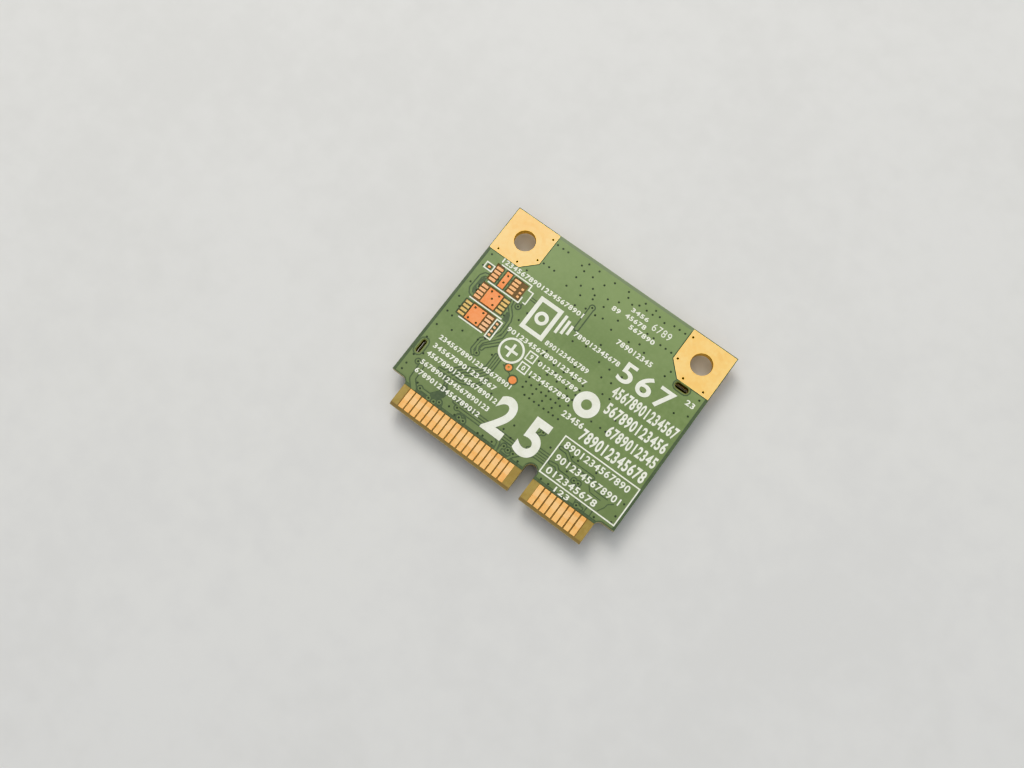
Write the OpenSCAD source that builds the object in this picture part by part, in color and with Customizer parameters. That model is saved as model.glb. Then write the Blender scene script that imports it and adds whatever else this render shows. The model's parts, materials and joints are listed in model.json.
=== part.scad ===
// Half-size mini card radio module for a laptop, lying on its shield lid with the solder side up.
// Board coordinates run x along the connector edge and y from the connector edge to the far edge.
// Height is counted upward from the outer face of the lid.

/* [Board] */
// Width of the board along its connector edge
board_w = 30; // [29.5:0.1:34]
// Length of the board from the connector edge to the far edge
board_l = 26.8; // [26.5:0.1:34]
// Thickness of the finished board with its solder mask
board_t = 1; // [0.8:0.05:1.6]
// Thickness of the solder mask on each side
mask_t = 0.06; // [0.04:0.01:0.1]
// Thickness of the bare copper lands and contacts
foil_t = 0.04; // [0.02:0.01:0.06]
// Thickness of the printed legend
ink_t = 0.02; // [0.01:0.01:0.04]

/* [Connector edge] */
// Distance between neighbouring contacts
contact_pitch = 0.8; // [0.75:0.05:0.9]
// Width of a contact
contact_w = 0.6; // [0.4:0.05:0.7]
// Length of a contact
contact_l = 2.3; // [1.5:0.1:2.6]
// Bare laminate between the bevel and the contacts
contact_set = 0.05; // [0:0.05:0.2]
// Contacts in the row left of the key slot
long_row = 18; // [12:1:18]
// Contacts in the row right of the key slot
short_row = 8; // [4:1:10]
// Centre of the key slot to the nearest contact centre
key_gap = 2; // [1.5:0.1:2.4]
// Centre of the last contact to the side of the tongue
row_end = 1.25; // [0.8:0.05:1.5]
// Length of the tongue from its edge to the shoulders
tongue_l = 3.3; // [2.9:0.1:4]
// Radius where the tongue meets a shoulder
shoulder_r = 0.7; // [0.3:0.1:1]
// Width of the key slot
key_w = 1.5; // [1.2:0.1:1.8]
// Depth of the key slot from the edge to its round end
key_l = 4; // [3.2:0.1:4.6]
// Length of the bevel on each face of the tongue edge
bevel_l = 0.3; // [0.1:0.05:0.5]
// Depth of the bevel into the laminate
bevel_d = 0.22; // [0.1:0.02:0.34]

/* [Mounting holes] */
// Diameter of a screw hole
hole_d = 2.6; // [2.2:0.1:3.2]
// Side edge of the board to the centre of a screw hole
hole_side = 2.9; // [2.6:0.1:3.2]
// Far edge to the line through the screw holes
hole_inset = 2.9; // [2.6:0.1:3.2]
// Width of the square land round a screw hole
land_w = 5.8; // [5:0.1:6.2]
// Cut corner of a land, measured along its sides
land_chamfer = 1.65; // [1:0.05:2.2]
// Bare margin between a land and the edge of the board
land_margin = 0.1; // [0.05:0.05:0.3]
// Diameter of an open via
via_d = 0.3; // [0.2:0.05:0.4]

/* [Shield can] */
// Height of the can from the board to the outer face of its lid
can_h = 1.5; // [1.4:0.05:2.2]
// Side edge of the board to the middle of the can's side wall
can_side = 1; // [0.8:0.05:1.2]
// Lands to the middle of the can's back wall
can_back_gap = 0.55; // [0.5:0.05:0.9]
// Key slot to the middle of the can's front wall
can_front_gap = 0.7; // [0.5:0.05:0.9]
// Sheet thickness of the frame
frame_t = 0.15; // [0.1:0.01:0.2]
// Sheet thickness of the lid
lid_t = 0.15; // [0.1:0.01:0.2]
// Outer radius of the folded edges
fold_r = 0.3; // [0.25:0.05:0.4]
// Clearance between the lid's fingers and the frame
lid_clearance = 0.03; // [0.02:0.01:0.06]
// Width of the frame's rim and of its bridges
rim_w = 0.9; // [0.6:0.1:1.4]
// Depth of the lid's fingers from its outer face
finger_l = 1.15; // [0.9:0.05:1.25]
// Fingers along a long side of the lid
fingers_long = 8; // [4:1:9]
// Fingers along a short side of the lid
fingers_short = 4; // [2:1:5]
// Gap between neighbouring fingers
finger_gap = 0.4; // [0.2:0.05:0.6]
// Radius of the ball that forms a detent dimple
dimple_r = 0.35; // [0.3:0.01:0.4]
// How far a dimple stands in from its finger
dimple_h = 0.1; // [0.06:0.01:0.14]
// Clearance round a dimple in its hole
dimple_clearance = 0.06; // [0.03:0.01:0.1]
// Length of a locating slot in the board
slot_l = 1.65; // [1.4:0.05:2]
// Width of the locating slot at the back wall
back_slot_w = 0.7; // [0.4:0.05:0.7]
// Width of the locating slot at the side wall
side_slot_w = 0.5; // [0.4:0.05:0.6]
// How far the back slot stands inward of the screw hole
back_slot_shift = 0.25; // [0:0.05:2]
// Place of the side slot along y, from the connector edge
side_slot_y = 7.2; // [6.5:0.1:14]
// Length of a slot that its tab leaves free
tab_play = 0.35; // [0.1:0.05:0.5]
// How far a tab reaches into the board
tab_depth = 0.6; // [0.2:0.05:0.75]
// Width of the tinned track below the frame
track_w = 0.8; // [0.5:0.05:1]
// Width of the notch that lets an antenna line out under the back wall
notch_w = 0.8; // [0.4:0.1:1.2]
// Height of that notch
notch_h = 0.35; // [0.2:0.05:0.5]

/* [Radio chip] */
// Side of the square body
radio_w = 7; // [6.5:0.5:8.5]
// Height of the body
radio_h = 0.85; // [0.7:0.05:1]
// Leads on each side
radio_leads = 12; // [8:1:12]
// Side of the heat pad below the body
radio_pad_w = 5.2; // [3:0.1:5.6]
// How far the chip stands to the right of the board's middle
radio_x = 0.4; // [0:0.1:0.8]
// Space between the chip and the parts beside it
radio_space = 0.8; // [0.5:0.1:1]

/* [Small parts] */
// Length of the memory chip
memory_l = 3; // [2.6:0.1:3.2]
// Length of the antenna switch
switch_l = 1.8; // [1.6:0.1:2]
// Height of the memory chip
chip_h = 0.75; // [0.6:0.05:1]
// Length of the regulator
regulator_l = 2.8; // [2.4:0.1:3]
// Height of the regulator
regulator_h = 1; // [0.8:0.05:1.1]
// Gap below the regulator
regulator_gap = 0.08; // [0.04:0.02:0.12]
// Reach of the regulator's leads beyond its body
bent_reach = 0.6; // [0.5:0.05:0.7]
// Length of the foot of such a lead
bent_foot = 0.35; // [0.25:0.05:0.45]
// Width of such a lead
bent_w = 0.4; // [0.3:0.05:0.5]
// Distance between the regulator's leads
bent_pitch = 0.95; // [0.85:0.05:1]
// Distance between chip leads
lead_pitch = 0.5; // [0.4:0.05:0.5]
// Width of a chip lead
lead_w = 0.22; // [0.18:0.01:0.25]
// Length of a chip lead below its body
lead_l = 0.4; // [0.3:0.05:0.5]
// Thickness of a chip lead
lead_t = 0.15; // [0.1:0.01:0.2]
// Length of a small capacitor or resistor
small_l = 1; // [0.8:0.05:1.1]
// Width of a small capacitor or resistor
small_w = 0.5; // [0.3:0.05:0.6]
// Height of a small capacitor
small_cap_h = 0.5; // [0.3:0.05:0.6]
// Height of a resistor
resistor_h = 0.35; // [0.25:0.05:0.4]
// Length of a bulk capacitor or band filter
bulk_l = 2; // [1.6:0.1:2.2]
// Width of a bulk capacitor or band filter
bulk_w = 1.25; // [0.8:0.05:1.35]
// Height of a bulk capacitor
bulk_h = 1; // [0.8:0.05:1.1]
// Height of a band filter
filter_h = 0.8; // [0.6:0.05:1]
// Length of a power inductor
coil_l = 2.5; // [2:0.1:2.6]
// Width of a power inductor
coil_w = 2; // [1.6:0.1:2.1]
// Height of a power inductor
coil_h = 1; // [0.8:0.05:1.1]
// Share of a small part's own length that one soldered end takes
end_share = 0.24; // [0.15:0.01:0.3]
// How far a soldered end stands proud of its body
end_lip = 0.03; // [0.01:0.01:0.05]
// How far a land reaches past the part on it
land_reach = 0.15; // [0.05:0.05:0.2]
// Space between the parts beside a wall and its track
part_space = 0.4; // [0.3:0.05:0.45]

/* [Crystal] */
// Length of the crystal
crystal_l = 3.2; // [2.5:0.1:3.4]
// Width of the crystal
crystal_w = 2.5; // [2:0.1:2.6]
// Height of the ceramic base
crystal_base_h = 0.4; // [0.3:0.05:0.5]
// Height of the metal lid
crystal_lid_h = 0.3; // [0.2:0.05:0.4]
// Rim of the base round the lid
crystal_rim = 0.15; // [0.1:0.05:0.3]
// Corner radius of the crystal's lid
crystal_corner = 0.25; // [0.15:0.05:0.4]
// Side of the square land under a corner of the crystal
crystal_land = 0.9; // [0.7:0.05:1]
// How far that land reaches beyond the crystal
crystal_land_reach = 0.05; // [0:0.05:0.15]

/* [Antenna sockets] */
// Screw hole to the socket beside it, along x
socket_gap = 4.1; // [3.9:0.1:4.5]
// Far edge to the centres of the sockets
socket_inset = 2.45; // [2.2:0.05:2.8]
// Outer diameter of the socket's ring
ring_d = 2; // [1.8:0.05:2.1]
// Wall of the ring
ring_t = 0.16; // [0.12:0.01:0.2]
// Height of the socket above the board
socket_h = 1.25; // [1:0.05:1.3]
// Side of the insulating base
socket_base_w = 2.6; // [2.4:0.05:2.8]
// Height of the insulating base
socket_base_h = 0.35; // [0.25:0.05:0.4]
// Socket's base to the middle of the small parts beside it
matching_gap = 1.6; // [1.3:0.1:1.8]
// Depth of the snap groove round the ring
groove_d = 0.07; // [0.03:0.01:0.1]
// Width of the snap groove
groove_w = 0.2; // [0.1:0.05:0.3]
// Height of the lip above the snap groove
lip_h = 0.2; // [0.15:0.05:0.35]
// Width of a leg that joins the ring to a ground foot
ring_leg_w = 0.7; // [0.4:0.1:0.7]
// Distance between the two ground feet
ring_foot_gap = 1.3; // [0.9:0.1:1.5]
// Diameter of the centre pin
pin_d = 0.5; // [0.3:0.05:0.6]
// How far the centre pin stays below the ring
pin_drop = 0.2; // [0.1:0.05:0.4]
// Thickness of the socket's feet
foot_t = 0.15; // [0.1:0.01:0.18]
// Width of a ground foot
ground_foot_w = 1.8; // [1:0.1:2]
// Width of the signal foot
signal_foot_w = 0.5; // [0.3:0.05:0.6]
// How far a foot reaches beyond the base
foot_reach = 0.25; // [0.15:0.05:0.35]

/* [Solder side] */
// Length of a small pad in a chip footprint
pad_l = 0.8; // [0.5:0.05:0.9]
// Width of a small pad in a chip footprint
pad_w = 0.3; // [0.2:0.02:0.34]
// Bare laminate round each pad
pad_margin = 0.06; // [0.03:0.01:0.08]
// Line width of the printed outlines
ink_line = 0.15; // [0.1:0.01:0.2]

/* [Hidden] */
$fn = 48;
over = 1;        // how far a cutter runs past what it cuts
seam = 0.05;     // overlap of two shapes that are fused

// Tongue and key: the key slot stands where it centres the two rows of contacts on the board
tongue_w = (long_row + short_row - 2) * contact_pitch + 2 * (key_gap + row_end);
key_x = (long_row - short_row) * contact_pitch / 2;
contact_y = bevel_l + contact_set;
mask_y = contact_y + contact_l + pad_margin;
shoulder_w = (board_w - tongue_w) / 2;

// Levels, from the lid's outer face upward
core_z = can_h + mask_t;
core_t = board_t - 2 * mask_t;
core_top = core_z + core_t;
board_top = can_h + board_t;

// Mounting holes
hole_x = board_w / 2 - hole_side;
hole_y = board_l - hole_inset;
// Open vias of a land, from its hole: x toward the middle of the board, y toward the far edge
land_vias = [[2.5, 2], [2.5, -1], [0.75, -2.5], [-1.9, -2.5]];

// Shield can: middle lines of its walls, and its centre
wall_x = board_w / 2 - can_side;
wall_y1 = max(key_l, tongue_l) + can_front_gap;
wall_y2 = hole_y - land_w / 2 - can_back_gap;
can_y = (wall_y1 + wall_y2) / 2;
frame_w = 2 * wall_x + frame_t;
frame_l = wall_y2 - wall_y1 + frame_t;
frame_h = can_h - lid_t;
lid_w = frame_w + 2 * (lid_clearance + lid_t);
lid_l = frame_l + 2 * (lid_clearance + lid_t);
// Corner relief: the walls stop this far from the corners of the can
corner_gap = fold_r + 0.12;
// The dimples stand halfway down the straight part of a finger
dimple_z = can_h - (finger_l + fold_r) / 2;
// Radius of a dimple where it leaves its finger
dimple_foot_r = sqrt(pow(dimple_r, 2) - pow(dimple_r - dimple_h, 2));

// Corner mark of a chip: lesser side of the chip over its radius, and its depth
mark_share = 16;
mark_depth = lead_t / 3;

// Small chips: length, width and height
memory_size = [memory_l, 2 * memory_l / 3, chip_h];
switch_size = [switch_l, 0.9 * switch_l, 0.8 * chip_h];
regulator_size = [regulator_l, 4 * regulator_l / 7, regulator_h];
memory_leads = 4;
switch_leads = 3;

// Layout inside the can: each column spreads its parts evenly between the front and back tracks
room_y1 = wall_y1 + track_w / 2;
room_y2 = wall_y2 - track_w / 2;
function total(v, n) = n == 0 ? 0 : v[n - 1] + total(v, n - 1);
function spread(v, i) =
    room_y1 + (room_y2 - room_y1 - total(v, len(v))) * (i + 1) / (len(v) + 1) + total(v, i) + v[i] / 2;

// Four parts stand along each side of the radio chip
around_radio = [-1.5, -0.5, 0.5, 1.5];
// Middle column: a row of capacitors, the radio chip, a row of resistors, the antenna parts
middle_rows = [small_l, radio_w, small_l, switch_size[1]];
radio_y = spread(middle_rows, 1);
radio_row_pitch = 0.85 * radio_w / len(around_radio);
radio_side_x = radio_w / 2 + small_l / 2 + radio_space;
antenna_y = spread(middle_rows, 3);
switch_side_x = switch_l / 2 + 2 * part_space + small_w / 4;
filter_x = switch_side_x + small_w / 2 + part_space + bulk_l / 2;
// Columns beside the walls: power parts on the left, the crystal and its parts on the right
power_x = track_w / 2 + part_space + coil_l / 2 - wall_x;
power_rows = [bulk_w, coil_w, bulk_w, memory_size[1], coil_w];
supply_x = power_x + coil_l / 2 + 2 * part_space + bent_reach + regulator_size[1] / 2;
supply_rows = [regulator_size[0], small_w, small_w, small_w, bulk_l];
clock_x = wall_x - track_w / 2 - part_space - crystal_l / 2;
clock_rows = [small_w, crystal_w, small_w, small_w, bulk_w, coil_l];
strip_x = clock_x - crystal_l / 2 - 2 * part_space - small_l / 2;
strip_rows = [for (i = [0:6]) small_w];

// Antenna sockets, and the parts between each socket and the can
socket_x = hole_x - socket_gap;
socket_y = board_l - socket_inset;
matching_x = socket_x - socket_base_w / 2 - matching_gap;
matching_y = (wall_y2 + socket_y - socket_base_w / 2) / 2;

// Places of the small parts: x, y and the angle of their length from x
small_cap_places = concat(
    [for (i = around_radio) [radio_x + i * radio_row_pitch, spread(middle_rows, 0), 90]],
    [for (i = around_radio) [radio_x - radio_side_x, radio_y + i * radio_row_pitch, 0]],
    [for (i = around_radio) [radio_x + radio_side_x, radio_y + i * radio_row_pitch, 0]],
    [for (i = [0, 2, 3]) [clock_x, spread(clock_rows, i), 0]],
    [for (i = [0, 1, 5, 6]) [strip_x, spread(strip_rows, i), 0]],
    [for (s = [-1, 1]) [radio_x + s * switch_side_x, antenna_y, 90]],
    [for (s = [-1, 1]) [s * matching_x, matching_y, 90]],
    [for (s = [-1, 1]) [s * matching_x, socket_y, 0]]
);
resistor_places = concat(
    [for (i = around_radio) [radio_x + i * radio_row_pitch, spread(middle_rows, 2), 90]],
    [for (i = [1, 2, 3]) [supply_x, spread(supply_rows, i), 0]],
    [for (i = [2, 3, 4]) [strip_x, spread(strip_rows, i), 0]]
);
bulk_cap_places = [
    [power_x, spread(power_rows, 0), 0], [power_x, spread(power_rows, 2), 0],
    [supply_x, spread(supply_rows, 4), 90], [clock_x, spread(clock_rows, 4), 0]
];
filter_places = [for (s = [-1, 1]) [radio_x + s * filter_x, antenna_y, 0]];
coil_places = [
    [power_x, spread(power_rows, 1), 0], [power_x, spread(power_rows, 4), 0],
    [clock_x, spread(clock_rows, 5), 90]
];
crystal_place = [clock_x, spread(clock_rows, 1), 0];
memory_place = [power_x, spread(power_rows, 3), 0];
switch_place = [radio_x, antenna_y, 0];
regulator_place = [supply_x, spread(supply_rows, 0), 90];

// Solder side: footprints, test lands and legend keep their distance from a side edge and the lands
left = -board_w / 2;
right = board_w / 2;
back = hole_y - land_w / 2;

// Everything is drawn in board coordinates and centred on the board's footprint
module on_card() {
    translate([0, -board_l / 2, 0]) children();
}

// Component side: children are drawn with their feet at z = 0, and hang down from the board
module under_board() {
    on_card() translate([0, 0, can_h]) mirror([0, 0, 1]) children();
}

module at_place(p) {
    translate([p[0], p[1], 0]) rotate([0, 0, p[2]]) children();
}

module centred_box(size) {
    translate([-size[0] / 2, -size[1] / 2, 0]) cube(size);
}

// Slot with round ends, its length along x
module stadium(l, w) {
    square([l - w, w], center = true);
    for (s = [-1, 1]) translate([s * (l - w) / 2, 0]) circle(d = w);
}

// Both locating slots, grown by margin on each side
module slot_shapes(margin) {
    translate([hole_x - back_slot_shift, wall_y2]) stadium(slot_l + 2 * margin, back_slot_w + 2 * margin);
    translate([-wall_x, side_slot_y]) rotate(90) stadium(slot_l + 2 * margin, side_slot_w + 2 * margin);
}

// Corner beside the tongue, with a round inner corner against the shoulder
module shoulder_cut() {
    translate([tongue_w / 2, -over]) difference() {
        square([shoulder_w + over, tongue_l + over]);
        translate([0, tongue_l + over - shoulder_r]) difference() {
            square(shoulder_r);
            translate([shoulder_r, 0]) circle(r = shoulder_r);
        }
    }
}

module key_cut() {
    translate([key_x - key_w / 2, -over]) square([key_w, key_l - key_w / 2 + over]);
    translate([key_x, key_l - key_w / 2]) circle(d = key_w);
}

// Outline of the board, with its key slot
module board_outline() {
    difference() {
        translate([-board_w / 2, 0]) square([board_w, board_l]);
        shoulder_cut();
        mirror([1, 0]) shoulder_cut();
        key_cut();
    }
}

// Square land with its cut inner corner, round the hole at the origin; x points to the middle
module land_shape() {
    h = land_w / 2;
    c = land_chamfer;
    polygon([[-h, -h], [h - c, -h], [h, c - h], [h, h], [-h, h]]);
}

// Places its children at both holes, mirrored so that x points to the middle of the board
module at_holes() {
    for (s = [0, 1]) mirror([s, 0]) translate([-hole_x, hole_y]) children();
}

// Both lands, kept off the edges of the board
module lands_outline() {
    intersection() {
        at_holes() land_shape();
        translate([land_margin - board_w / 2, 0]) square([board_w - 2 * land_margin, board_l - land_margin]);
    }
}

module land_vias_cut() {
    at_holes() for (p = land_vias) translate(p) circle(d = via_d);
}

// One face of the tongue's bevel, below the face that lies at z = 0
module bevel_cut() {
    translate([-board_w / 2 - over, 0, 0]) rotate([90, 0, 90]) linear_extrude(board_w + 2 * over)
        polygon([[bevel_l, 0], [0, bevel_d], [-over, bevel_d], [-over, -over], [bevel_l, -over]]);
}

module board_laminate() {
    color("#b59a4a") on_card() translate([0, 0, core_z]) difference() {
        linear_extrude(core_t) difference() {
            board_outline();
            at_holes() circle(d = hole_d);
            land_vias_cut();
            slot_shapes(0);
        }
        bevel_cut();
        translate([0, 0, core_t]) mirror([0, 0, 1]) bevel_cut();
    }
}

// Solder mask with the openings that both sides share
module mask_outline() {
    difference() {
        board_outline();
        translate([-board_w / 2 - over, -over]) square([board_w + 2 * over, mask_y + over]);
        lands_outline();
        slot_shapes(pad_margin * 2);
    }
}

module solder_mask_upper() {
    color("#5f8a4e") on_card() translate([0, 0, core_top]) linear_extrude(mask_t) difference() {
        mask_outline();
        footprint_shapes(pad_margin);
        test_land_shapes(pad_margin);
    }
}

module solder_mask_lower() {
    color("#5f8a4e") on_card() translate([0, 0, can_h]) linear_extrude(mask_t) difference() {
        mask_outline();
        component_land_shapes();
        track_shape();
    }
}

module mounting_lands() {
    color("gold") on_card() difference() {
        for (z = [core_z - foil_t, core_top]) translate([0, 0, z]) linear_extrude(foil_t) lands_outline();
        translate([0, 0, can_h - over]) linear_extrude(board_t + 2 * over) {
            at_holes() circle(d = hole_d);
            land_vias_cut();
            slot_shapes(pad_margin);
        }
    }
}

// Both rows of contacts on one face
module contact_shapes() {
    for (i = [0:long_row - 1]) contact_at(key_x - key_gap - i * contact_pitch);
    for (i = [0:short_row - 1]) contact_at(key_x + key_gap + i * contact_pitch);
}

module contact_at(x) {
    translate([x - contact_w / 2, contact_y]) square([contact_w, contact_l]);
}

module edge_contacts_upper() {
    color("gold") on_card() translate([0, 0, core_top]) linear_extrude(foil_t) contact_shapes();
}

module edge_contacts_lower() {
    color("gold") on_card() translate([0, 0, core_z - foil_t]) linear_extrude(foil_t) contact_shapes();
}

// Empty chip footprints: centre from the left edge and the lands, width and length of the pad
// under the chip, and the gap between that pad and the small pads beside it
footprints = [[4, 4.8, 1.8, 1.95, 0.2], [3.7, 7.4, 1.8, 1.9, 0.2], [3.9, 2.2, 0.7, 2, 0.5]];
footprint_pitch = 0.5;
// Open vias in those pads
footprint_vias = [
    [[-0.5, 0.7], [0.5, 0.7], [0, 0], [0.5, -0.55]],
    [[-0.55, -0.7], [-0.55, 0.7], [0.55, -0.7], [0.55, 0.7]],
    [[0, -0.3], [0, 0.6]]
];
// Columns of small pads for resistors: lowest pad from the left edge and the lands, and how many
pad_columns = [[6.25, 8.3, 4], [6.15, 2.9, 3], [1.5, 1.95, 1]];
// Round test lands: centre from the left edge and the lands, and radius
test_lands_at = [[10.25, 10, 0.35], [11.45, 10.9, 0.42]];

module chip_footprint(f, margin) {
    translate([left + f[0], back - f[1]]) {
        square([f[2] + 2 * margin, f[3] + 2 * margin], center = true);
        side_x = f[2] / 2 + f[4] + pad_l / 2;
        for (s = [-1, 1], i = [-1.5:1:1.5]) translate([s * side_x, i * footprint_pitch])
            square([pad_l + 2 * margin, pad_w + 2 * margin], center = true);
    }
}

module footprint_shapes(margin) {
    for (f = footprints) chip_footprint(f, margin);
    for (c = pad_columns, i = [0:c[2] - 1]) translate([left + c[0], back - c[1] + i * footprint_pitch])
        square([pad_w + 2 * margin, pad_w * 0.8 + 2 * margin], center = true);
}

module bare_footprints() {
    color("#e59a64") on_card() translate([0, 0, core_top]) linear_extrude(foil_t) difference() {
        footprint_shapes(0);
        for (i = [0:2], v = footprint_vias[i]) translate([left + footprints[i][0], back - footprints[i][1]])
            translate(v) circle(d = via_d);
    }
}

module test_land_shapes(margin) {
    for (t = test_lands_at) translate([left + t[0], back - t[1]]) circle(r = t[2] + margin);
}

module test_lands() {
    color("#e59a64") on_card() translate([0, 0, core_top]) linear_extrude(foil_t) difference() {
        test_land_shapes(0);
        translate([left + test_lands_at[0][0], back - test_lands_at[0][1]]) circle(d = via_d);
    }
}

// Rectangle drawn with a line: lower left corner, width, length and line width
module ink_frame(f) {
    t = f[4];
    translate([f[0], f[1]]) difference() {
        square([f[2], f[3]]);
        translate([t, t]) square([f[2] - 2 * t, f[3] - 2 * t]);
    }
}

// Ring: centre, radius and line width
module ink_ring(r) {
    translate([r[0], r[1]]) difference() {
        circle(r = r[2]);
        circle(r = r[2] - r[3]);
    }
}

module ink_bar(b) {
    translate([b[0], b[1]]) square([b[2], b[3]]);
}

// Printed frames: lower left corner from the left edge and the lands, width, length and line width
ink_frames = [
    [0.9, -2.4, 1.2, 0.9, ink_line], [5.85, -8.8, 0.9, 2.5, ink_line], [8.3, -5.5, 3.1, 4.3, 0.5],
    [11, -8.2, 1.2, 1.2, ink_line], [11, -9.7, 1.2, 1.2, ink_line]
];
// Printed rings: centre from the left edge and the lands, radius and line width
ink_rings = [[9.35, -8.3, 1.5, 0.25], [9.85, -3.35, 0.8, 0.4]];
// Printed bars: lower left corner from the left edge and the lands, width and length
ink_bars = [
    [2.4, -3.5, 4.3, ink_line], [1.8, -6.15, 4.5, ink_line], [2.2, -8.7, 3.3, ink_line],
    [2.5, -1, 4.3, ink_line], [6.65, -1.65, 0.8, ink_line], [7, -3.2, 0.45, ink_line],
    [8.5, -8.45, 1.7, 0.3], [9.2, -9.15, 0.3, 0.7], [9.2, -8.15, 0.3, 0.7],
    [11.8, -3.8, 0.35, 2.4], [12.4, -3.5, 0.35, 1.8], [13, -3.2, 0.35, 1.2],
    [6.65, -1.65, ink_line, 0.7], [7.3, -3.2, ink_line, 1.6], [6.55, -3.5, ink_line, 0.9]
];
// Frame in the front corner: from the right edge and the can's front wall, as in ink_frames
corner_frame = [-10.25, -1, 9.95, 4.95, ink_line];
// Heavy ring: centre from the right edge and the lands, radius and line width
heavy_ring = [-10.4, -8.3, 1.5, 0.9];

// Printed outlines and plain shapes of the solder side
module ink_shapes() {
    translate([left, back]) {
        for (f = ink_frames) ink_frame(f);
        for (r = ink_rings) ink_ring(r);
        for (b = ink_bars) ink_bar(b);
    }
    translate([right, wall_y1]) ink_frame(corner_frame);
    translate([right, back]) ink_ring(heavy_ring);
}

module legend_ink() {
    color("#f4f3e0") on_card() translate([0, 0, board_top]) linear_extrude(ink_t) ink_shapes();
}

// Lands below the two ends of a part of length l and width w
module end_lands(l, w) {
    for (s = [0, 1]) mirror([s, 0]) translate([l / 2 - l * end_share, -w / 2 - land_reach / 3])
        square([l * end_share + land_reach, w + 2 * land_reach / 3]);
}

// Lands below the leads on two sides of a chip
module lead_lands(w, n) {
    for (s = [0, 1], i = [0:n - 1]) mirror([0, s])
        translate([(i - (n - 1) / 2) * lead_pitch - lead_w / 2, w / 2 - lead_l])
            square([lead_w, lead_l + land_reach]);
}

module component_land_shapes() {
    for (p = concat(small_cap_places, resistor_places)) at_place(p) end_lands(small_l, small_w);
    for (p = concat(bulk_cap_places, filter_places)) at_place(p) end_lands(bulk_l, bulk_w);
    for (p = coil_places) at_place(p) end_lands(coil_l, coil_w);
    at_place(crystal_place) crystal_lands();
    at_place(memory_place) lead_lands(memory_size[1], memory_leads);
    at_place(switch_place) lead_lands(switch_size[1], switch_leads);
    at_place(regulator_place) regulator_lands();
    at_place([radio_x, radio_y, 0]) {
        square(radio_pad_w, center = true);
        for (a = [0, 90]) rotate(a) lead_lands(radio_w, radio_leads);
    }
    at_socket_places() socket_lands();
}

module component_lands() {
    color("silver") on_card() translate([0, 0, can_h]) linear_extrude(mask_t) component_land_shapes();
}

// Tinned track that follows the frame's walls, cut where a slot or a signal passes
module track_shape() {
    difference() {
        translate([-wall_x - track_w / 2, wall_y1 - track_w / 2])
            square([2 * wall_x + track_w, wall_y2 - wall_y1 + track_w]);
        translate([-wall_x + track_w / 2, wall_y1 + track_w / 2])
            square([2 * wall_x - track_w, wall_y2 - wall_y1 - track_w]);
        slot_shapes(pad_margin * 2);
        for (s = [-1, 1]) translate([s * matching_x, wall_y2])
            square([notch_w, track_w + over], center = true);
    }
}

module shield_track() {
    color("silver") on_card() translate([0, 0, can_h]) linear_extrude(mask_t) track_shape();
}

// Section of a folded side: a wall from the foot up, an arc, and a short stretch of the top
module fold_section(h, foot, t) {
    translate([0, foot]) square([t, h - fold_r - foot]);
    translate([fold_r, h - t]) square([seam, t]);
    translate([fold_r, h - fold_r]) intersection() {
        difference() {
            circle(r = fold_r);
            circle(r = fold_r - t);
        }
        translate([-fold_r, 0]) square(fold_r);
    }
}

// Four folded sides round a box of w by l, with open corners
module folded_sides(w, l, h, foot, t) {
    for (a = [0, 180]) rotate([0, 0, a]) {
        translate([-w / 2, l / 2 - corner_gap, 0]) rotate([90, 0, 0]) linear_extrude(l - 2 * corner_gap)
            fold_section(h, foot, t);
        translate([corner_gap - w / 2, -l / 2, 0]) rotate([90, 0, 90]) linear_extrude(w - 2 * corner_gap)
            fold_section(h, foot, t);
    }
}

// Centre lines of n fingers along a side of length l
function finger_places(l, n) = [for (i = [0:n - 1]) (i + 0.5 - n / 2) * (l - 2 * corner_gap) / n];
function finger_slits(l, n) = [for (i = [1:n - 1]) (i - n / 2) * (l - 2 * corner_gap) / n];

// Places its children on every finger, at the outer face of the frame, x pointing out
module at_fingers() {
    for (a = [0, 180]) rotate([0, 0, a]) {
        for (y = finger_places(lid_l, fingers_short)) translate([frame_w / 2, y, dimple_z]) children();
        for (x = finger_places(lid_w, fingers_long)) translate([x, frame_l / 2, dimple_z])
            rotate([0, 0, 90]) children();
    }
}

module shield_frame() {
    color("silver") under_board() {
        translate([0, can_y, 0]) difference() {
            union() {
                folded_sides(frame_w, frame_l, frame_h, 0, frame_t);
                translate([0, 0, frame_h - frame_t]) linear_extrude(frame_t) frame_rim();
            }
            at_fingers() translate([-frame_t - over / 2, 0, 0]) rotate([0, 90, 0])
                cylinder(r = dimple_foot_r + dimple_clearance, h = frame_t + over);
            for (s = [-1, 1]) translate([s * matching_x, wall_y2 - can_y, -over])
                centred_box([notch_w, frame_t + over, notch_h + over]);
        }
        tab_l = slot_l - tab_play;
        translate([hole_x - back_slot_shift - tab_l / 2, wall_y2 - frame_t / 2, -tab_depth])
            cube([tab_l, frame_t, tab_depth + seam]);
        translate([-wall_x - frame_t / 2, side_slot_y - tab_l / 2, -tab_depth])
            cube([frame_t, tab_l, tab_depth + seam]);
    }
}

// Rim of the frame with two bridges that cross over the chips
module frame_rim() {
    difference() {
        square([frame_w - 2 * fold_r, frame_l - 2 * fold_r], center = true);
        for (i = [-1:1]) translate([i * (frame_w - rim_w) / 3, 0])
            rounded_window((frame_w - rim_w) / 3 - rim_w, frame_l - 2 * rim_w, rim_w / 2);
    }
}

module rounded_window(w, l, r) {
    square([w - 2 * r, l], center = true);
    square([w, l - 2 * r], center = true);
    for (x = [-1, 1], y = [-1, 1]) translate([x * (w / 2 - r), y * (l / 2 - r)]) circle(r = r);
}

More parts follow.
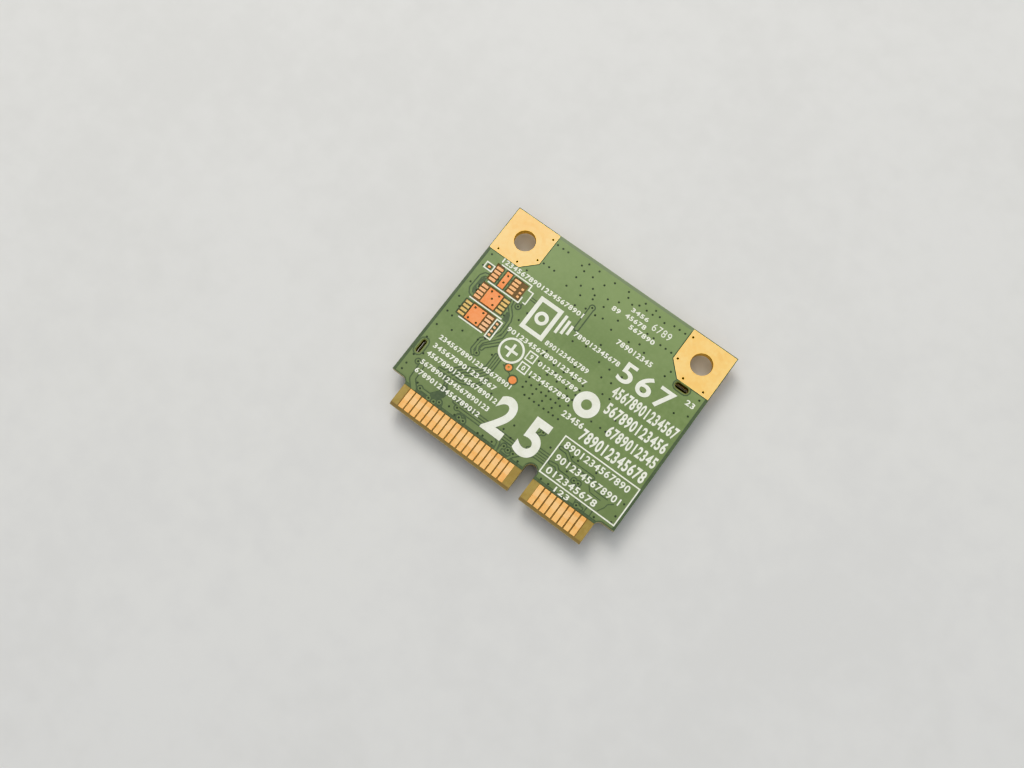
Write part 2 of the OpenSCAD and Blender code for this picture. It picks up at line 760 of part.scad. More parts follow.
module shield_lid() {
    color("gainsboro") under_board() translate([0, can_y, 0]) difference() {
        union() {
            folded_sides(lid_w, lid_l, can_h, can_h - finger_l, lid_t);
            translate([0, 0, can_h - lid_t]) linear_extrude(lid_t)
                square([lid_w - 2 * fold_r, lid_l - 2 * fold_r], center = true);
            at_fingers() dimple_outside();
        }
        at_fingers() translate([lid_clearance + dimple_r - dimple_h, 0, 0]) sphere(r = dimple_r - lid_t);
        slit_h = finger_l - fold_r;
        for (y = finger_slits(lid_l, fingers_short)) translate([0, y, can_h - finger_l - over])
            centred_box([lid_w + over, finger_gap, slit_h + over]);
        for (x = finger_slits(lid_w, fingers_long)) translate([x, 0, can_h - finger_l - over])
            centred_box([finger_gap, lid_l + over, slit_h + over]);
    }
}

// Pressed dimple, from the middle of its finger inward
module dimple_outside() {
    translate([lid_clearance, 0, 0]) intersection() {
        translate([dimple_r - dimple_h, 0, 0]) sphere(r = dimple_r);
        translate([-dimple_r, -dimple_r, -dimple_r]) cube([dimple_r + lid_t / 2, 2 * dimple_r, 2 * dimple_r]);
    }
}

// Bare body of a part with two soldered ends
module part_body(l, w, h) {
    translate([0, 0, end_lip]) centred_box([l - 2 * end_lip, w - 2 * end_lip, h - 2 * end_lip]);
}

module part_ends(l, w, h) {
    difference() {
        for (s = [-1, 1]) translate([s * (l - l * end_share) / 2, 0, 0]) centred_box([l * end_share, w, h]);
        part_body(l, w, h);
    }
}

// Leads on two sides of a flat chip, flush with its underside and its sides
module flat_leads(w, n) {
    for (s = [0, 1], i = [0:n - 1]) mirror([0, s, 0])
        translate([(i - (n - 1) / 2) * lead_pitch - lead_w / 2, w / 2 - lead_l, 0])
            cube([lead_w, lead_l, lead_t]);
}

// Moulded body with a marked corner
module flat_body(size) {
    mark_r = min(size[0], size[1]) / mark_share;
    inset = 3 * mark_r;
    difference() {
        centred_box(size);
        translate([inset - size[0] / 2, inset - size[1] / 2, size[2] - mark_depth])
            cylinder(r = mark_r, h = over);
    }
}

module radio_chip_metal() {
    centred_box([radio_pad_w, radio_pad_w, lead_t]);
    for (a = [0, 90]) rotate([0, 0, a]) flat_leads(radio_w, radio_leads);
}

module radio_chip_body() {
    color("#2b2b2d") under_board() at_place([radio_x, radio_y, 0]) difference() {
        flat_body([radio_w, radio_w, radio_h]);
        radio_chip_metal();
    }
}

module radio_chip_leads() {
    color("silver") under_board() at_place([radio_x, radio_y, 0]) radio_chip_metal();
}

module memory_chip_body() {
    color("#2b2b2d") under_board() at_place(memory_place) difference() {
        flat_body(memory_size);
        flat_leads(memory_size[1], memory_leads);
    }
}

module memory_chip_leads() {
    color("silver") under_board() at_place(memory_place) flat_leads(memory_size[1], memory_leads);
}

module antenna_switch_body() {
    color("#2b2b2d") under_board() at_place(switch_place) difference() {
        flat_body(switch_size);
        flat_leads(switch_size[1], switch_leads);
    }
}

module antenna_switch_leads() {
    color("silver") under_board() at_place(switch_place) flat_leads(switch_size[1], switch_leads);
}

module crystal_lands() {
    shift = crystal_land_reach - crystal_land / 2;
    for (x = [-1, 1], y = [-1, 1]) translate([x * (crystal_l / 2 + shift), y * (crystal_w / 2 + shift)])
        square(crystal_land, center = true);
}

module crystal_base() {
    color("ivory") under_board() at_place(crystal_place) centred_box([crystal_l, crystal_w, crystal_base_h]);
}

module crystal_lid() {
    w = crystal_l - 2 * crystal_rim;
    l = crystal_w - 2 * crystal_rim;
    color("silver") under_board() at_place(crystal_place) translate([0, 0, crystal_base_h])
        linear_extrude(crystal_lid_h) rounded_window(w, l, crystal_corner);
}

// Places its children at the five leads of the regulator, y pointing out of its body
module at_bent_leads() {
    for (x = [-1, 0, 1]) translate([x * bent_pitch, regulator_size[1] / 2, 0]) children();
    for (x = [-1, 1]) translate([x * bent_pitch, -regulator_size[1] / 2, 0]) mirror([0, 1, 0]) children();
}

module regulator_lands() {
    at_bent_leads() translate([-bent_w / 2 - land_reach / 3, bent_reach - bent_foot - land_reach])
        square([bent_w + 2 * land_reach / 3, bent_foot + 2 * land_reach]);
}

// Gull-wing lead: out of the body at mid height, down, and out again along the board
module bent_lead() {
    z = regulator_size[2] / 2;
    knee = bent_reach - bent_foot;
    translate([-bent_w / 2, 0, 0]) rotate([90, 0, 90]) linear_extrude(bent_w) polygon([
        [0, z], [knee, z], [knee, lead_t], [bent_reach, lead_t], [bent_reach, 0],
        [knee - lead_t, 0], [knee - lead_t, z - lead_t], [0, z - lead_t]
    ]);
}

module regulator_body() {
    color("#2b2b2d") under_board() at_place(regulator_place) translate([0, 0, regulator_gap])
        centred_box([regulator_size[0], regulator_size[1], regulator_size[2] - regulator_gap]);
}

module regulator_leads() {
    color("silver") under_board() at_place(regulator_place) at_bent_leads() bent_lead();
}

module power_inductors() {
    color("#4a4a4c") under_board() for (p = coil_places) at_place(p) part_body(coil_l, coil_w, coil_h);
}

module power_inductor_ends() {
    color("silver") under_board() for (p = coil_places) at_place(p) part_ends(coil_l, coil_w, coil_h);
}

module bulk_capacitors() {
    color("#b08a5a") under_board() for (p = bulk_cap_places) at_place(p) part_body(bulk_l, bulk_w, bulk_h);
}

module bulk_capacitor_ends() {
    color("silver") under_board() for (p = bulk_cap_places) at_place(p) part_ends(bulk_l, bulk_w, bulk_h);
}

module small_capacitors() {
    color("#c09a68") under_board() for (p = small_cap_places) at_place(p)
        part_body(small_l, small_w, small_cap_h);
}

module small_capacitor_ends() {
    color("silver") under_board() for (p = small_cap_places) at_place(p)
        part_ends(small_l, small_w, small_cap_h);
}

module resistors() {
    color("#1f1f22") under_board() for (p = resistor_places) at_place(p)
        part_body(small_l, small_w, resistor_h);
}

module resistor_ends() {
    color("silver") under_board() for (p = resistor_places) at_place(p)
        part_ends(small_l, small_w, resistor_h);
}

module band_filters() {
    color("#e8e4d4") under_board() for (p = filter_places) at_place(p) part_body(bulk_l, bulk_w, filter_h);
}

module band_filter_ends() {
    color("silver") under_board() for (p = filter_places) at_place(p) part_ends(bulk_l, bulk_w, filter_h);
}

// A socket has two ground feet along its x and one signal foot toward its -y
module socket_lands() {
    reach = foot_reach + land_reach;
    for (s = [-1, 1]) translate([s * socket_base_w / 2, 0])
        square([2 * reach, ground_foot_w + 2 * land_reach], center = true);
    translate([0, -socket_base_w / 2]) square([signal_foot_w + 2 * land_reach, 2 * reach], center = true);
}

// Outside of the ring: two legs through the base, a band above it, the snap groove and the lip
module ring_body() {
    r = ring_d / 2;
    groove_z = socket_h - lip_h - groove_w;
    centred_box([ring_d - 2 * groove_d, ring_leg_w, socket_base_h + seam]);
    translate([0, 0, socket_base_h]) cylinder(r = r, h = groove_z - socket_base_h);
    translate([0, 0, groove_z]) cylinder(r1 = r, r2 = r - groove_d, h = groove_w / 2);
    translate([0, 0, groove_z + groove_w / 2]) cylinder(r1 = r - groove_d, r2 = r, h = groove_w / 2);
    translate([0, 0, socket_h - lip_h]) cylinder(r = r, h = lip_h);
}

// Ring with its legs and ground feet
module ring_metal() {
    difference() {
        union() {
            ring_body();
            centred_box([socket_base_w + 2 * foot_reach, ground_foot_w, foot_t]);
        }
        translate([0, 0, -over]) cylinder(d = ring_d - 2 * ring_t, h = socket_h + 2 * over);
        translate([0, 0, -over]) centred_box([ring_foot_gap, ring_d, over + foot_t + seam]);
    }
}

// Centre pin with a round tip, and its signal foot
module pin_metal() {
    tip_z = socket_h - pin_drop - pin_d / 2;
    cylinder(d = pin_d, h = tip_z);
    translate([0, 0, tip_z]) sphere(d = pin_d);
    translate([-signal_foot_w / 2, -socket_base_w / 2 - foot_reach, 0])
        cube([signal_foot_w, socket_base_w / 2 + foot_reach, foot_t]);
}

// Places its children at both sockets, their signal feet toward the middle of the board
module at_socket_places() {
    for (s = [-1, 1]) translate([s * socket_x, socket_y]) rotate(-90 * s) children();
}

module antenna_socket_bases() {
    color("ivory") under_board() at_socket_places() difference() {
        centred_box([socket_base_w, socket_base_w, socket_base_h]);
        ring_metal();
        pin_metal();
    }
}

module antenna_socket_rings() {
    color("gold") under_board() at_socket_places() ring_metal();
}

module antenna_socket_pins() {
    color("gold") under_board() at_socket_places() pin_metal();
}

board_laminate();
solder_mask_upper();
solder_mask_lower();
mounting_lands();
edge_contacts_upper();
edge_contacts_lower();
bare_footprints();
test_lands();
legend_ink();
component_lands();
shield_track();
shield_frame();
shield_lid();
radio_chip_body();
radio_chip_leads();
crystal_base();
crystal_lid();
memory_chip_body();
memory_chip_leads();
antenna_switch_body();
antenna_switch_leads();
regulator_body();
regulator_leads();
power_inductors();
power_inductor_ends();
bulk_capacitors();
bulk_capacitor_ends();
small_capacitors();
small_capacitor_ends();
resistors();
resistor_ends();
band_filters();
band_filter_ends();
antenna_socket_bases();
antenna_socket_rings();
antenna_socket_pins();
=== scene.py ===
import json
import math
import random

import bpy
import numpy as np
from mathutils import Matrix, Vector
from mathutils.geometry import delaunay_2d_cdt


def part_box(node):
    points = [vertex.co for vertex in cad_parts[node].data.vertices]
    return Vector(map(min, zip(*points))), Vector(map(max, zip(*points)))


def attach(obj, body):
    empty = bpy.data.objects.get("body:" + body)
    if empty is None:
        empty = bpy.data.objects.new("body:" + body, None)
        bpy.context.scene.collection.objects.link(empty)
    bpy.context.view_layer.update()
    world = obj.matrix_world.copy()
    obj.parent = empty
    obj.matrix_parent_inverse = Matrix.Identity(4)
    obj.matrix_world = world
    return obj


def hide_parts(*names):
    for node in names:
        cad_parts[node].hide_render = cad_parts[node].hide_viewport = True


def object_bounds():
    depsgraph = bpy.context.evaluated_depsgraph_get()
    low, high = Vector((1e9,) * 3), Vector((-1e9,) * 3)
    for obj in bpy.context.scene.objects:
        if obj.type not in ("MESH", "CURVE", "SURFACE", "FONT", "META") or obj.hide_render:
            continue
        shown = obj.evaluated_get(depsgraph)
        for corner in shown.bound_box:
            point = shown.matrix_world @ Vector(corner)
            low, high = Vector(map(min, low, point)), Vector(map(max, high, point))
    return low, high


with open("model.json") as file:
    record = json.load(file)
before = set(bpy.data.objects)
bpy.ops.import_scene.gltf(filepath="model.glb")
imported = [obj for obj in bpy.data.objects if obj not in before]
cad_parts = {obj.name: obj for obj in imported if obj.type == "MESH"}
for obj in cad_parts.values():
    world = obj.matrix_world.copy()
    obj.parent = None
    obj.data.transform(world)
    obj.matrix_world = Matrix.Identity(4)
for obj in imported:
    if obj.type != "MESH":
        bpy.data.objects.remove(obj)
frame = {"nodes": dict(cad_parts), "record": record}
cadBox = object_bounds()  # lowest and highest corner of the CAD model
print("frame loaded:", len(frame["nodes"]), "nodes")

random.seed(5)
mm = 0.001
edgeY = cadBox[0].y  # connector edge in m; board coordinates count from here in mm
holeX = 12.1  # screw holes, from the middle of the card and from the connector edge
holeY = 23.9


# camera and light

view = {
    "place": (14.09, -23.65, 117.38),  # mm, from a fit to the corners, contacts and holes
    "looks": (-0.1477, 0.1693, -0.9744),
    "up": (-0.581, 0.7825, 0.224),
    "lens": 37.76,
    "clip": (0.005, 10),  # m
}


def makeCamera():
    data = bpy.data.cameras.new("viewCamera")
    data.lens = view["lens"]
    data.clip_start, data.clip_end = view["clip"]
    camera = bpy.data.objects.new("viewCamera", data)
    bpy.context.collection.objects.link(camera)
    back = -Vector(view["looks"]).normalized()
    right = Vector(view["up"]).cross(back).normalized()
    up = back.cross(right)
    turn = Matrix((right, up, back)).transposed().to_4x4()
    camera.matrix_world = Matrix.Translation(Vector(view["place"]) * mm) @ turn
    bpy.context.scene.camera = camera


studio = {
    "sky": (0.90, 0.94, 1.0),
    "skyStrength": 0.45,
    "lamps": [  # name, place in m, size in m, watts, colour
        ("keyLamp", (-0.28, 0.30, 0.42), 0.30, 1.7, (1.0, 0.97, 0.92)),
        ("fillLamp", (0.40, -0.22, 0.40), 0.40, 0.25, (0.92, 0.96, 1.0)),
        ("topLamp", (-0.06, 0.12, 0.60), 0.50, 0.9, (1.0, 0.99, 0.97)),
    ],
    "floor": (226, 225, 221),
    "floorSize": 1.6,  # m from the middle to a side
}


def makeLights():
    world = bpy.data.worlds.new("studioSky")
    world.use_nodes = True
    sky = world.node_tree.nodes["Background"]
    sky.inputs["Color"].default_value = (*studio["sky"], 1)
    sky.inputs["Strength"].default_value = studio["skyStrength"]
    bpy.context.scene.world = world
    for name, place, size, watts, colour in studio["lamps"]:
        data = bpy.data.lights.new(name, "AREA")
        data.size, data.energy, data.color = size, watts, colour
        lamp = bpy.data.objects.new(name, data)
        bpy.context.collection.objects.link(lamp)
        lamp.location = place
        lamp.rotation_euler = (-Vector(place)).to_track_quat("-Z", "Y").to_euler()


makeCamera()
makeLights()
bpy.context.scene.view_settings.view_transform = "Khronos PBR Neutral"
print("camera and lights made")


# node helpers

def linear(colour):  # 0 to 255 screen colour to a shader colour
    parts = [c / 255 for c in colour]
    return tuple(c / 12.92 if c <= 0.04045 else ((c + 0.055) / 1.055) ** 2.4 for c in parts) + (1.0,)


def plug(tree, socket, value):  # links the socket to another one, or sets its value
    if isinstance(value, bpy.types.NodeSocket):
        tree.links.new(value, socket)
    else:
        socket.default_value = value


def addNode(tree, kind, inputs, **settings):
    node = tree.nodes.new(kind)
    for key, value in settings.items():
        setattr(node, key, value)
    for key, value in inputs.items():
        plug(tree, node.inputs[key], value)
    return node


def newGroup(name, inputs, outputs):
    group = bpy.data.node_groups.new(name, "ShaderNodeTree")
    for label, kind in inputs.items():
        group.interface.new_socket(label, in_out="INPUT", socket_type="NodeSocket" + kind)
    for label, kind in outputs.items():
        group.interface.new_socket(label, in_out="OUTPUT", socket_type="NodeSocket" + kind)
    start = group.nodes.new("NodeGroupInput")
    end = group.nodes.new("NodeGroupOutput")
    return group, start.outputs, end.inputs


def placeGroup(tree, group, inputs):
    return addNode(tree, "ShaderNodeGroup", inputs, node_tree=group).outputs


def mathNode(tree, operation, a, b):
    return addNode(tree, "ShaderNodeMath", {0: a, 1: b}, operation=operation).outputs[0]


def vectorNode(tree, operation, a, b):
    return addNode(tree, "ShaderNodeVectorMath", {0: a, 1: b}, operation=operation).outputs


def mixColours(tree, share, a, b):
    return addNode(tree, "ShaderNodeMix", {0: share, 6: a, 7: b}, data_type="RGBA").outputs[2]


def remap(tree, value, low, high, toLow=0.0, toHigh=1.0):
    inputs = {"Value": value, "From Min": low, "From Max": high, "To Min": toLow, "To Max": toHigh}
    return addNode(tree, "ShaderNodeMapRange", inputs, interpolation_type="SMOOTHSTEP").outputs[0]


def softSpan(tree, value, low, high, soft):  # 1 from low to high, with a fade around both ends
    lowStart, lowEnd = (mathNode(tree, side, low, soft) for side in ("SUBTRACT", "ADD"))
    highStart, highEnd = (mathNode(tree, side, high, soft) for side in ("SUBTRACT", "ADD"))
    above = remap(tree, value, lowStart, lowEnd)
    below = remap(tree, value, highStart, highEnd, 1.0, 0.0)
    return mathNode(tree, "MULTIPLY", above, below)


def noiseNode(tree, place, scale, detail, rough=0.5):
    inputs = {"Vector": place, "Scale": scale, "Detail": detail, "Roughness": rough}
    return addNode(tree, "ShaderNodeTexNoise", inputs).outputs["Fac"]


def waveNode(tree, place, scale, direction, distortion, detail, detailScale):
    inputs = {"Vector": place, "Scale": scale, "Distortion": distortion, "Detail": detail,
              "Detail Scale": detailScale}
    return addNode(tree, "ShaderNodeTexWave", inputs, bands_direction=direction).outputs["Fac"]


# effects shared by the materials

effects = {
    "tone": {"detail": 3.0, "rough": 0.55, "share": 0.65, "low": 0.38, "high": 0.62},
    "mottle": {"times": 9.0, "detail": 2.0, "share": 0.35},  # its scale is so many times the tone's
    "grain": {"detail": 5.0, "rough": 0.6, "low": 0.3, "high": 0.7},
    "cloth": (0.6, 1.0, 1.0),  # distortion, detail and its scale
    "plies": (1.6, 3.0, 0.6),
    "fibres": {"scale": 9000.0, "detail": 2.0},
    "arcs": {"scale": 620.0, "detail": 4.0, "low": 0.46, "high": 0.62},
}


def makeToneGroup():  # slow colour drift with a finer mottle on top
    group, given, made = newGroup(
        "toneDrift",
        {"Vector": "Vector", "Base": "Color", "Shade": "Color", "Scale": "Float", "Amount": "Float"},
        {"Color": "Color"})
    tone, mottle = effects["tone"], effects["mottle"]
    slow = noiseNode(group, given["Vector"], given["Scale"], tone["detail"], tone["rough"])
    fineScale = mathNode(group, "MULTIPLY", given["Scale"], mottle["times"])
    fine = noiseNode(group, given["Vector"], fineScale, mottle["detail"])
    both = mathNode(group, "ADD", mathNode(group, "MULTIPLY", slow, tone["share"]),
                    mathNode(group, "MULTIPLY", fine, mottle["share"]))
    share = mathNode(group, "MULTIPLY", remap(group, both, tone["low"], tone["high"]), given["Amount"])
    group.links.new(mixColours(group, share, given["Base"], given["Shade"]), made["Color"])
    return group


def makeGrainGroup():  # stretched noise for roughness and relief: grain, brushing or rubbing
    group, given, made = newGroup(
        "surfaceGrain",
        {"Vector": "Vector", "Stretch": "Vector", "Scale": "Float", "Low": "Float", "High": "Float"},
        {"Roughness": "Float", "Height": "Float"})
    grain = effects["grain"]
    pulled = vectorNode(group, "MULTIPLY", given["Vector"], given["Stretch"])[0]
    height = noiseNode(group, pulled, given["Scale"], grain["detail"], grain["rough"])
    rough = remap(group, height, grain["low"], grain["high"], given["Low"], given["High"])
    group.links.new(height, made["Height"])
    group.links.new(rough, made["Roughness"])
    return group


def makeClothGroup():  # woven glass cloth under the surface
    group, given, made = newGroup(
        "glassCloth", {"Vector": "Vector", "Scale": "Float"}, {"Mask": "Float"})
    warp, weft = (waveNode(group, given["Vector"], given["Scale"], direction, *effects["cloth"])
                  for direction in ("X", "Y"))
    group.links.new(mathNode(group, "MULTIPLY", warp, weft), made["Mask"])
    return group


def makeSpeckGroup():  # sparse round specks, such as dust or pinholes
    group, given, made = newGroup(
        "fineSpecks",
        {"Vector": "Vector", "Scale": "Float", "Size": "Float", "Share": "Float"}, {"Mask": "Float"})
    cells = addNode(group, "ShaderNodeTexVoronoi", {"Vector": given["Vector"], "Scale": given["Scale"]})
    parts = addNode(group, "ShaderNodeSeparateColor", {"Color": cells.outputs["Color"]})
    dot = mathNode(group, "LESS_THAN", cells.outputs["Distance"], given["Size"])
    chosen = mathNode(group, "LESS_THAN", parts.outputs[0], given["Share"])
    group.links.new(mathNode(group, "MULTIPLY", dot, chosen), made["Mask"])
    return group


def makeRegionGroup():  # 1 inside a box of the object's own coordinates, with soft sides
    group, given, made = newGroup(
        "boxRegion",
        {"Vector": "Vector", "Low": "Vector", "High": "Vector", "Soft": "Float"}, {"Mask": "Float"})
    split = [addNode(group, "ShaderNodeSeparateXYZ", {"Vector": given[key]}).outputs
             for key in ("Vector", "Low", "High")]
    spans = [softSpan(group, *(outputs[axis] for outputs in split), given["Soft"]) for axis in range(3)]
    mask = mathNode(group, "MULTIPLY", mathNode(group, "MULTIPLY", spans[0], spans[1]), spans[2])
    group.links.new(mask, made["Mask"])
    return group


def makeRingGroup():  # 1 between two distances from an upright axis, broken up into arcs
    group, given, made = newGroup(
        "ringRegion",
        {"Vector": "Vector", "Centre": "Vector", "Inner": "Float", "Outer": "Float", "Soft": "Float"},
        {"Mask": "Float"})
    away = vectorNode(group, "SUBTRACT", given["Vector"], given["Centre"])[0]
    flat = vectorNode(group, "MULTIPLY", away, (1, 1, 0))[0]
    distance = addNode(group, "ShaderNodeVectorMath", {0: flat}, operation="LENGTH").outputs["Value"]
    ring = softSpan(group, distance, given["Inner"], given["Outer"], given["Soft"])
    arcs = effects["arcs"]
    noise = noiseNode(group, given["Vector"], arcs["scale"], arcs["detail"])
    broken = remap(group, noise, arcs["low"], arcs["high"])
    group.links.new(mathNode(group, "MULTIPLY", ring, broken), made["Mask"])
    return group


def makePlyGroup():  # plies of glass cloth on a cut edge, with stray fibres
    group, given, made = newGroup("edgePlies", {"Vector": "Vector", "Scale": "Float"}, {"Mask": "Float"})
    wave = waveNode(group, given["Vector"], given["Scale"], "Z", *effects["plies"])
    fibres = noiseNode(group, given["Vector"], effects["fibres"]["scale"], effects["fibres"]["detail"])
    group.links.new(mathNode(group, "MULTIPLY", wave, fibres), made["Mask"])
    return group


toneGroup = makeToneGroup()
grainGroup = makeGrainGroup()
clothGroup = makeClothGroup()
speckGroup = makeSpeckGroup()
regionGroup = makeRegionGroup()
ringGroup = makeRingGroup()
plyGroup = makePlyGroup()


# materials

surface = {
    "coatRough": 0.22,
    "regionSoft": 0.01,  # mm, for regions that give no fade of their own
    "ringSoft": 0.1,
}
# cloth and plies are scale, colour and share; specks are scale, size, share and colour
looks = {  # colours as seen on a screen; rough is a range, relief is in m
    "laminate": {
        "base": (184, 158, 84), "shade": (160, 132, 62), "scale": 260, "amount": 0.8,
        "grain": 5200, "rough": (0.44, 0.64), "relief": 4e-6,
        "regions": [  # low and high corner in mm, colour, share and perhaps a fade in mm
            ((-15.2, -0.2, 1.575), (15.2, 27, 2.425), (202, 186, 134), 1.0),  # cut edges
            ((-15.2, 0.02, 2.2), (15.2, 0.36, 3), (150, 122, 76), 0.85),  # slopes below the contacts
            ((-15.2, 0.02, 1.4), (15.2, 0.36, 1.8), (150, 122, 76), 0.85),
            ((-12.05, 0.35, 2.4), (2.25, 2.8, 3), (128, 88, 38), 0.9),  # partly painted shade between the contacts, partly the laminate's own darker colour where the copper is removed
            ((5.65, 0.35, 2.4), (12.0, 2.8, 3), (110, 70, 26), 0.9),
            # the same mix of painted shade and bare laminate, between the contacts below
            ((-12.05, 0.35, 1.4), (2.25, 2.8, 1.6), (124, 84, 36), 0.85),
            ((5.65, 0.35, 1.4), (12.0, 2.8, 1.6), (124, 84, 36), 0.85),
            ((-14, 12, 2.4), (-8, 20.5, 3), (86, 50, 30), 0.95),  # around the empty footprints
            ((-11.85, 15.3, 2.4), (-10.15, 17.1, 3), (36, 22, 14), 0.95),  # vias in their centre pads
            ((-12.15, 12.7, 2.4), (-10.45, 14.5, 3), (36, 22, 14), 0.95),
            ((-11.4, 17.85, 2.4), (-10.8, 19.85, 3), (36, 22, 14), 0.95),
            ((10.8, 19.9, 2.42), (12.9, 20.99, 3), (104, 124, 70), 0.95),  # round the slots
            ((-14.6, 6.1, 2.42), (-13.4, 8.3, 3), (112, 132, 78), 0.95),
            ((10.8, 19.9, 1.5), (12.9, 20.99, 2.42), (52, 54, 32), 0.95),  # painted shade on the walls of the slots
            ((-14.6, 6.1, 1.5), (-13.4, 8.3, 2.42), (52, 54, 32), 0.95),
        ],
        "plies": (1500, (150, 128, 72), 0.75),
    },
    "solder_mask": {
        "base": (120, 141, 80), "shade": (107, 130, 68), "scale": 190, "amount": 0.85,
        "grain": 1500, "rough": (0.30, 0.42), "relief": 3e-6,
        "cloth": (640, (132, 151, 94), 0.12), "coat": 0.25,
        "specks": (1300, 0.07, 0.05, (166, 182, 136)),
        "regions": [  # painted light and shade: darker towards the contacts, lighter towards the screw holes, where the light falls off across the board
            ((-40, -40, -40), (40, 6.5, 40), (100, 116, 66), 0.55, 6.0),
            ((-40, 21, -40), (40, 60, 40), (134, 155, 94), 0.6, 4.0),
        ],
    },
    "gold_plate": {
        "base": (252, 214, 132), "shade": (241, 194, 106), "scale": 300, "amount": 0.7, "metal": 1.0,
        "grain": 2400, "rough": (0.30, 0.46), "relief": 2.5e-6,
        "specks": (1700, 0.08, 0.08, (206, 160, 92)),
        "rings": [  # wear of a screw head: x, y, inner and outer radius in mm, colour and share
            (-holeX, holeY, 1.9, 2.35, (214, 170, 104), 0.55),
            (holeX, holeY, 2.0, 2.5, (214, 170, 104), 0.5),
        ],
    },
    "contact_gold": {
        "base": (238, 189, 120), "shade": (222, 164, 97), "scale": 420, "amount": 0.8, "metal": 1.0,
        "stretch": (3.4, 0.35, 1), "grain": 1900, "rough": (0.30, 0.50), "relief": 2.5e-6,
        "specks": (2600, 0.14, 0.13, (192, 136, 82)),
        "regions": [  # rubbed by the connector's springs
            ((-14, 1.35, 1), (14, 2.15, 3), (252, 214, 156), 0.4, 0.12),
        ],
    },
    "bare_copper": {
        "base": (224, 147, 93), "shade": (208, 126, 76), "scale": 420, "amount": 0.8, "metal": 0.85,
        "grain": 2600, "rough": (0.34, 0.5), "relief": 3e-6,
        "specks": (1600, 0.12, 0.06, (168, 92, 58)),
        "regions": [  # small pads paler than the pads under the chips, some with a tan film
            ((-13.1, 15.2, 2), (-12.0, 20.2, 3), (212, 164, 120), 0.85),
            ((-10.35, 17.8, 2), (-7.9, 20.3, 3), (206, 164, 118), 0.85),
            ((-10.05, 15.1, 2), (-8.9, 17.4, 3), (186, 160, 104), 0.95),
            ((-13.3, 12.4, 2), (-12.25, 14.9, 3), (184, 160, 104), 0.95),
            ((-10.3, 12.4, 2), (-8.2, 14.9, 3), (210, 172, 134), 0.85),
        ],
    },
    "legend_ink": {
        "base": (246, 246, 232), "shade": (230, 231, 212), "scale": 900, "amount": 0.7,
        "grain": 5200, "rough": (0.5, 0.68), "relief": 3e-6,
    },
    "solder_tin": {
        "base": (206, 207, 208), "shade": (180, 182, 186), "scale": 700, "amount": 0.8, "metal": 1.0,
        "grain": 1800, "rough": (0.16, 0.34), "relief": 8e-6,
    },
    "frame_sheet": {
        "base": (200, 198, 193), "shade": (174, 172, 167), "scale": 260, "amount": 0.8, "metal": 1.0,
        "stretch": (6, 0.6, 6), "grain": 900, "rough": (0.26, 0.42), "relief": 1.5e-6,
        "regions": [  # painted shade: the ends of the tabs, deep in the slots, are darkened
            ((-15, 6, 1.47), (15, 21, 2.6), (50, 48, 36), 0.94),
        ],
    },
    "lid_sheet": {
        "base": (216, 213, 206), "shade": (202, 198, 190), "scale": 90, "amount": 0.5, "metal": 1.0,
        "stretch": (0.12, 8, 1), "grain": 2300, "rough": (0.27, 0.36), "relief": 8e-7,
        "specks": (1100, 0.05, 0.05, (160, 156, 148)),
    },
    "chip_moulding": {
        "base": (44, 44, 47), "shade": (32, 32, 35), "scale": 500, "amount": 0.8,
        "grain": 6000, "rough": (0.46, 0.64), "relief": 6e-6,
    },
    "cream_ceramic": {
        "base": (232, 226, 206), "shade": (212, 204, 180), "scale": 600, "amount": 0.7,
        "grain": 5200, "rough": (0.40, 0.56), "relief": 4e-6,
    },
    "ferrite": {
        "base": (72, 72, 76), "shade": (54, 54, 58), "scale": 700, "amount": 0.9,
        "grain": 5200, "rough": (0.5, 0.7), "relief": 8e-6,
    },
    "brown_ceramic": {
        "base": (158, 124, 86), "shade": (136, 102, 68), "scale": 600, "amount": 0.8,
        "grain": 4800, "rough": (0.34, 0.5), "relief": 4e-6,
    },
    "tan_ceramic": {
        "base": (184, 150, 108), "shade": (160, 124, 84), "scale": 700, "amount": 0.8,
        "grain": 5200, "rough": (0.34, 0.5), "relief": 4e-6,
    },
    "resistor_glaze": {
        "base": (30, 30, 34), "shade": (44, 44, 48), "scale": 800, "amount": 0.6,
        "grain": 4800, "rough": (0.2, 0.34), "relief": 4e-6,
    },
    "socket_plastic": {
        "base": (234, 226, 202), "shade": (216, 206, 178), "scale": 700, "amount": 0.7,
        "grain": 4800, "rough": (0.40, 0.54), "relief": 4e-6,
    },
    "mask_gap": {  # mask with no copper below it
        "base": (72, 92, 51), "shade": (59, 79, 42), "scale": 400, "amount": 0.85,
        "grain": 1500, "rough": (0.30, 0.42), "relief": 3e-6,
        "cloth": (640, (104, 122, 74), 0.2), "coat": 0.25,
        "regions": [  # paler along the far edge
            ((-9.4, 26.4, 2), (9.4, 27, 3), (126, 142, 100), 0.8),
        ],
    },
    "via_plug": {  # mask sunk into a filled via
        "base": (44, 60, 30), "shade": (32, 46, 22), "scale": 900, "amount": 0.9,
        "grain": 2400, "rough": (0.3, 0.45), "relief": 4e-6,
    },
    "floor_paper": {
        "base": studio["floor"], "shade": (218, 217, 213), "scale": 40, "amount": 0.5,
        "grain": 900, "rough": (0.72, 0.88), "relief": 1e-5,
    },
}


def boardCorner(x, y, z):  # board coordinates in mm to the frame's metres
    return (x * mm, edgeY + y * mm, z * mm)


def tintWhere(tree, colour, mask, amount, tint):  # mixes the tint in where the mask is
    return mixColours(tree, mathNode(tree, "MULTIPLY", mask, amount), colour, linear(tint))


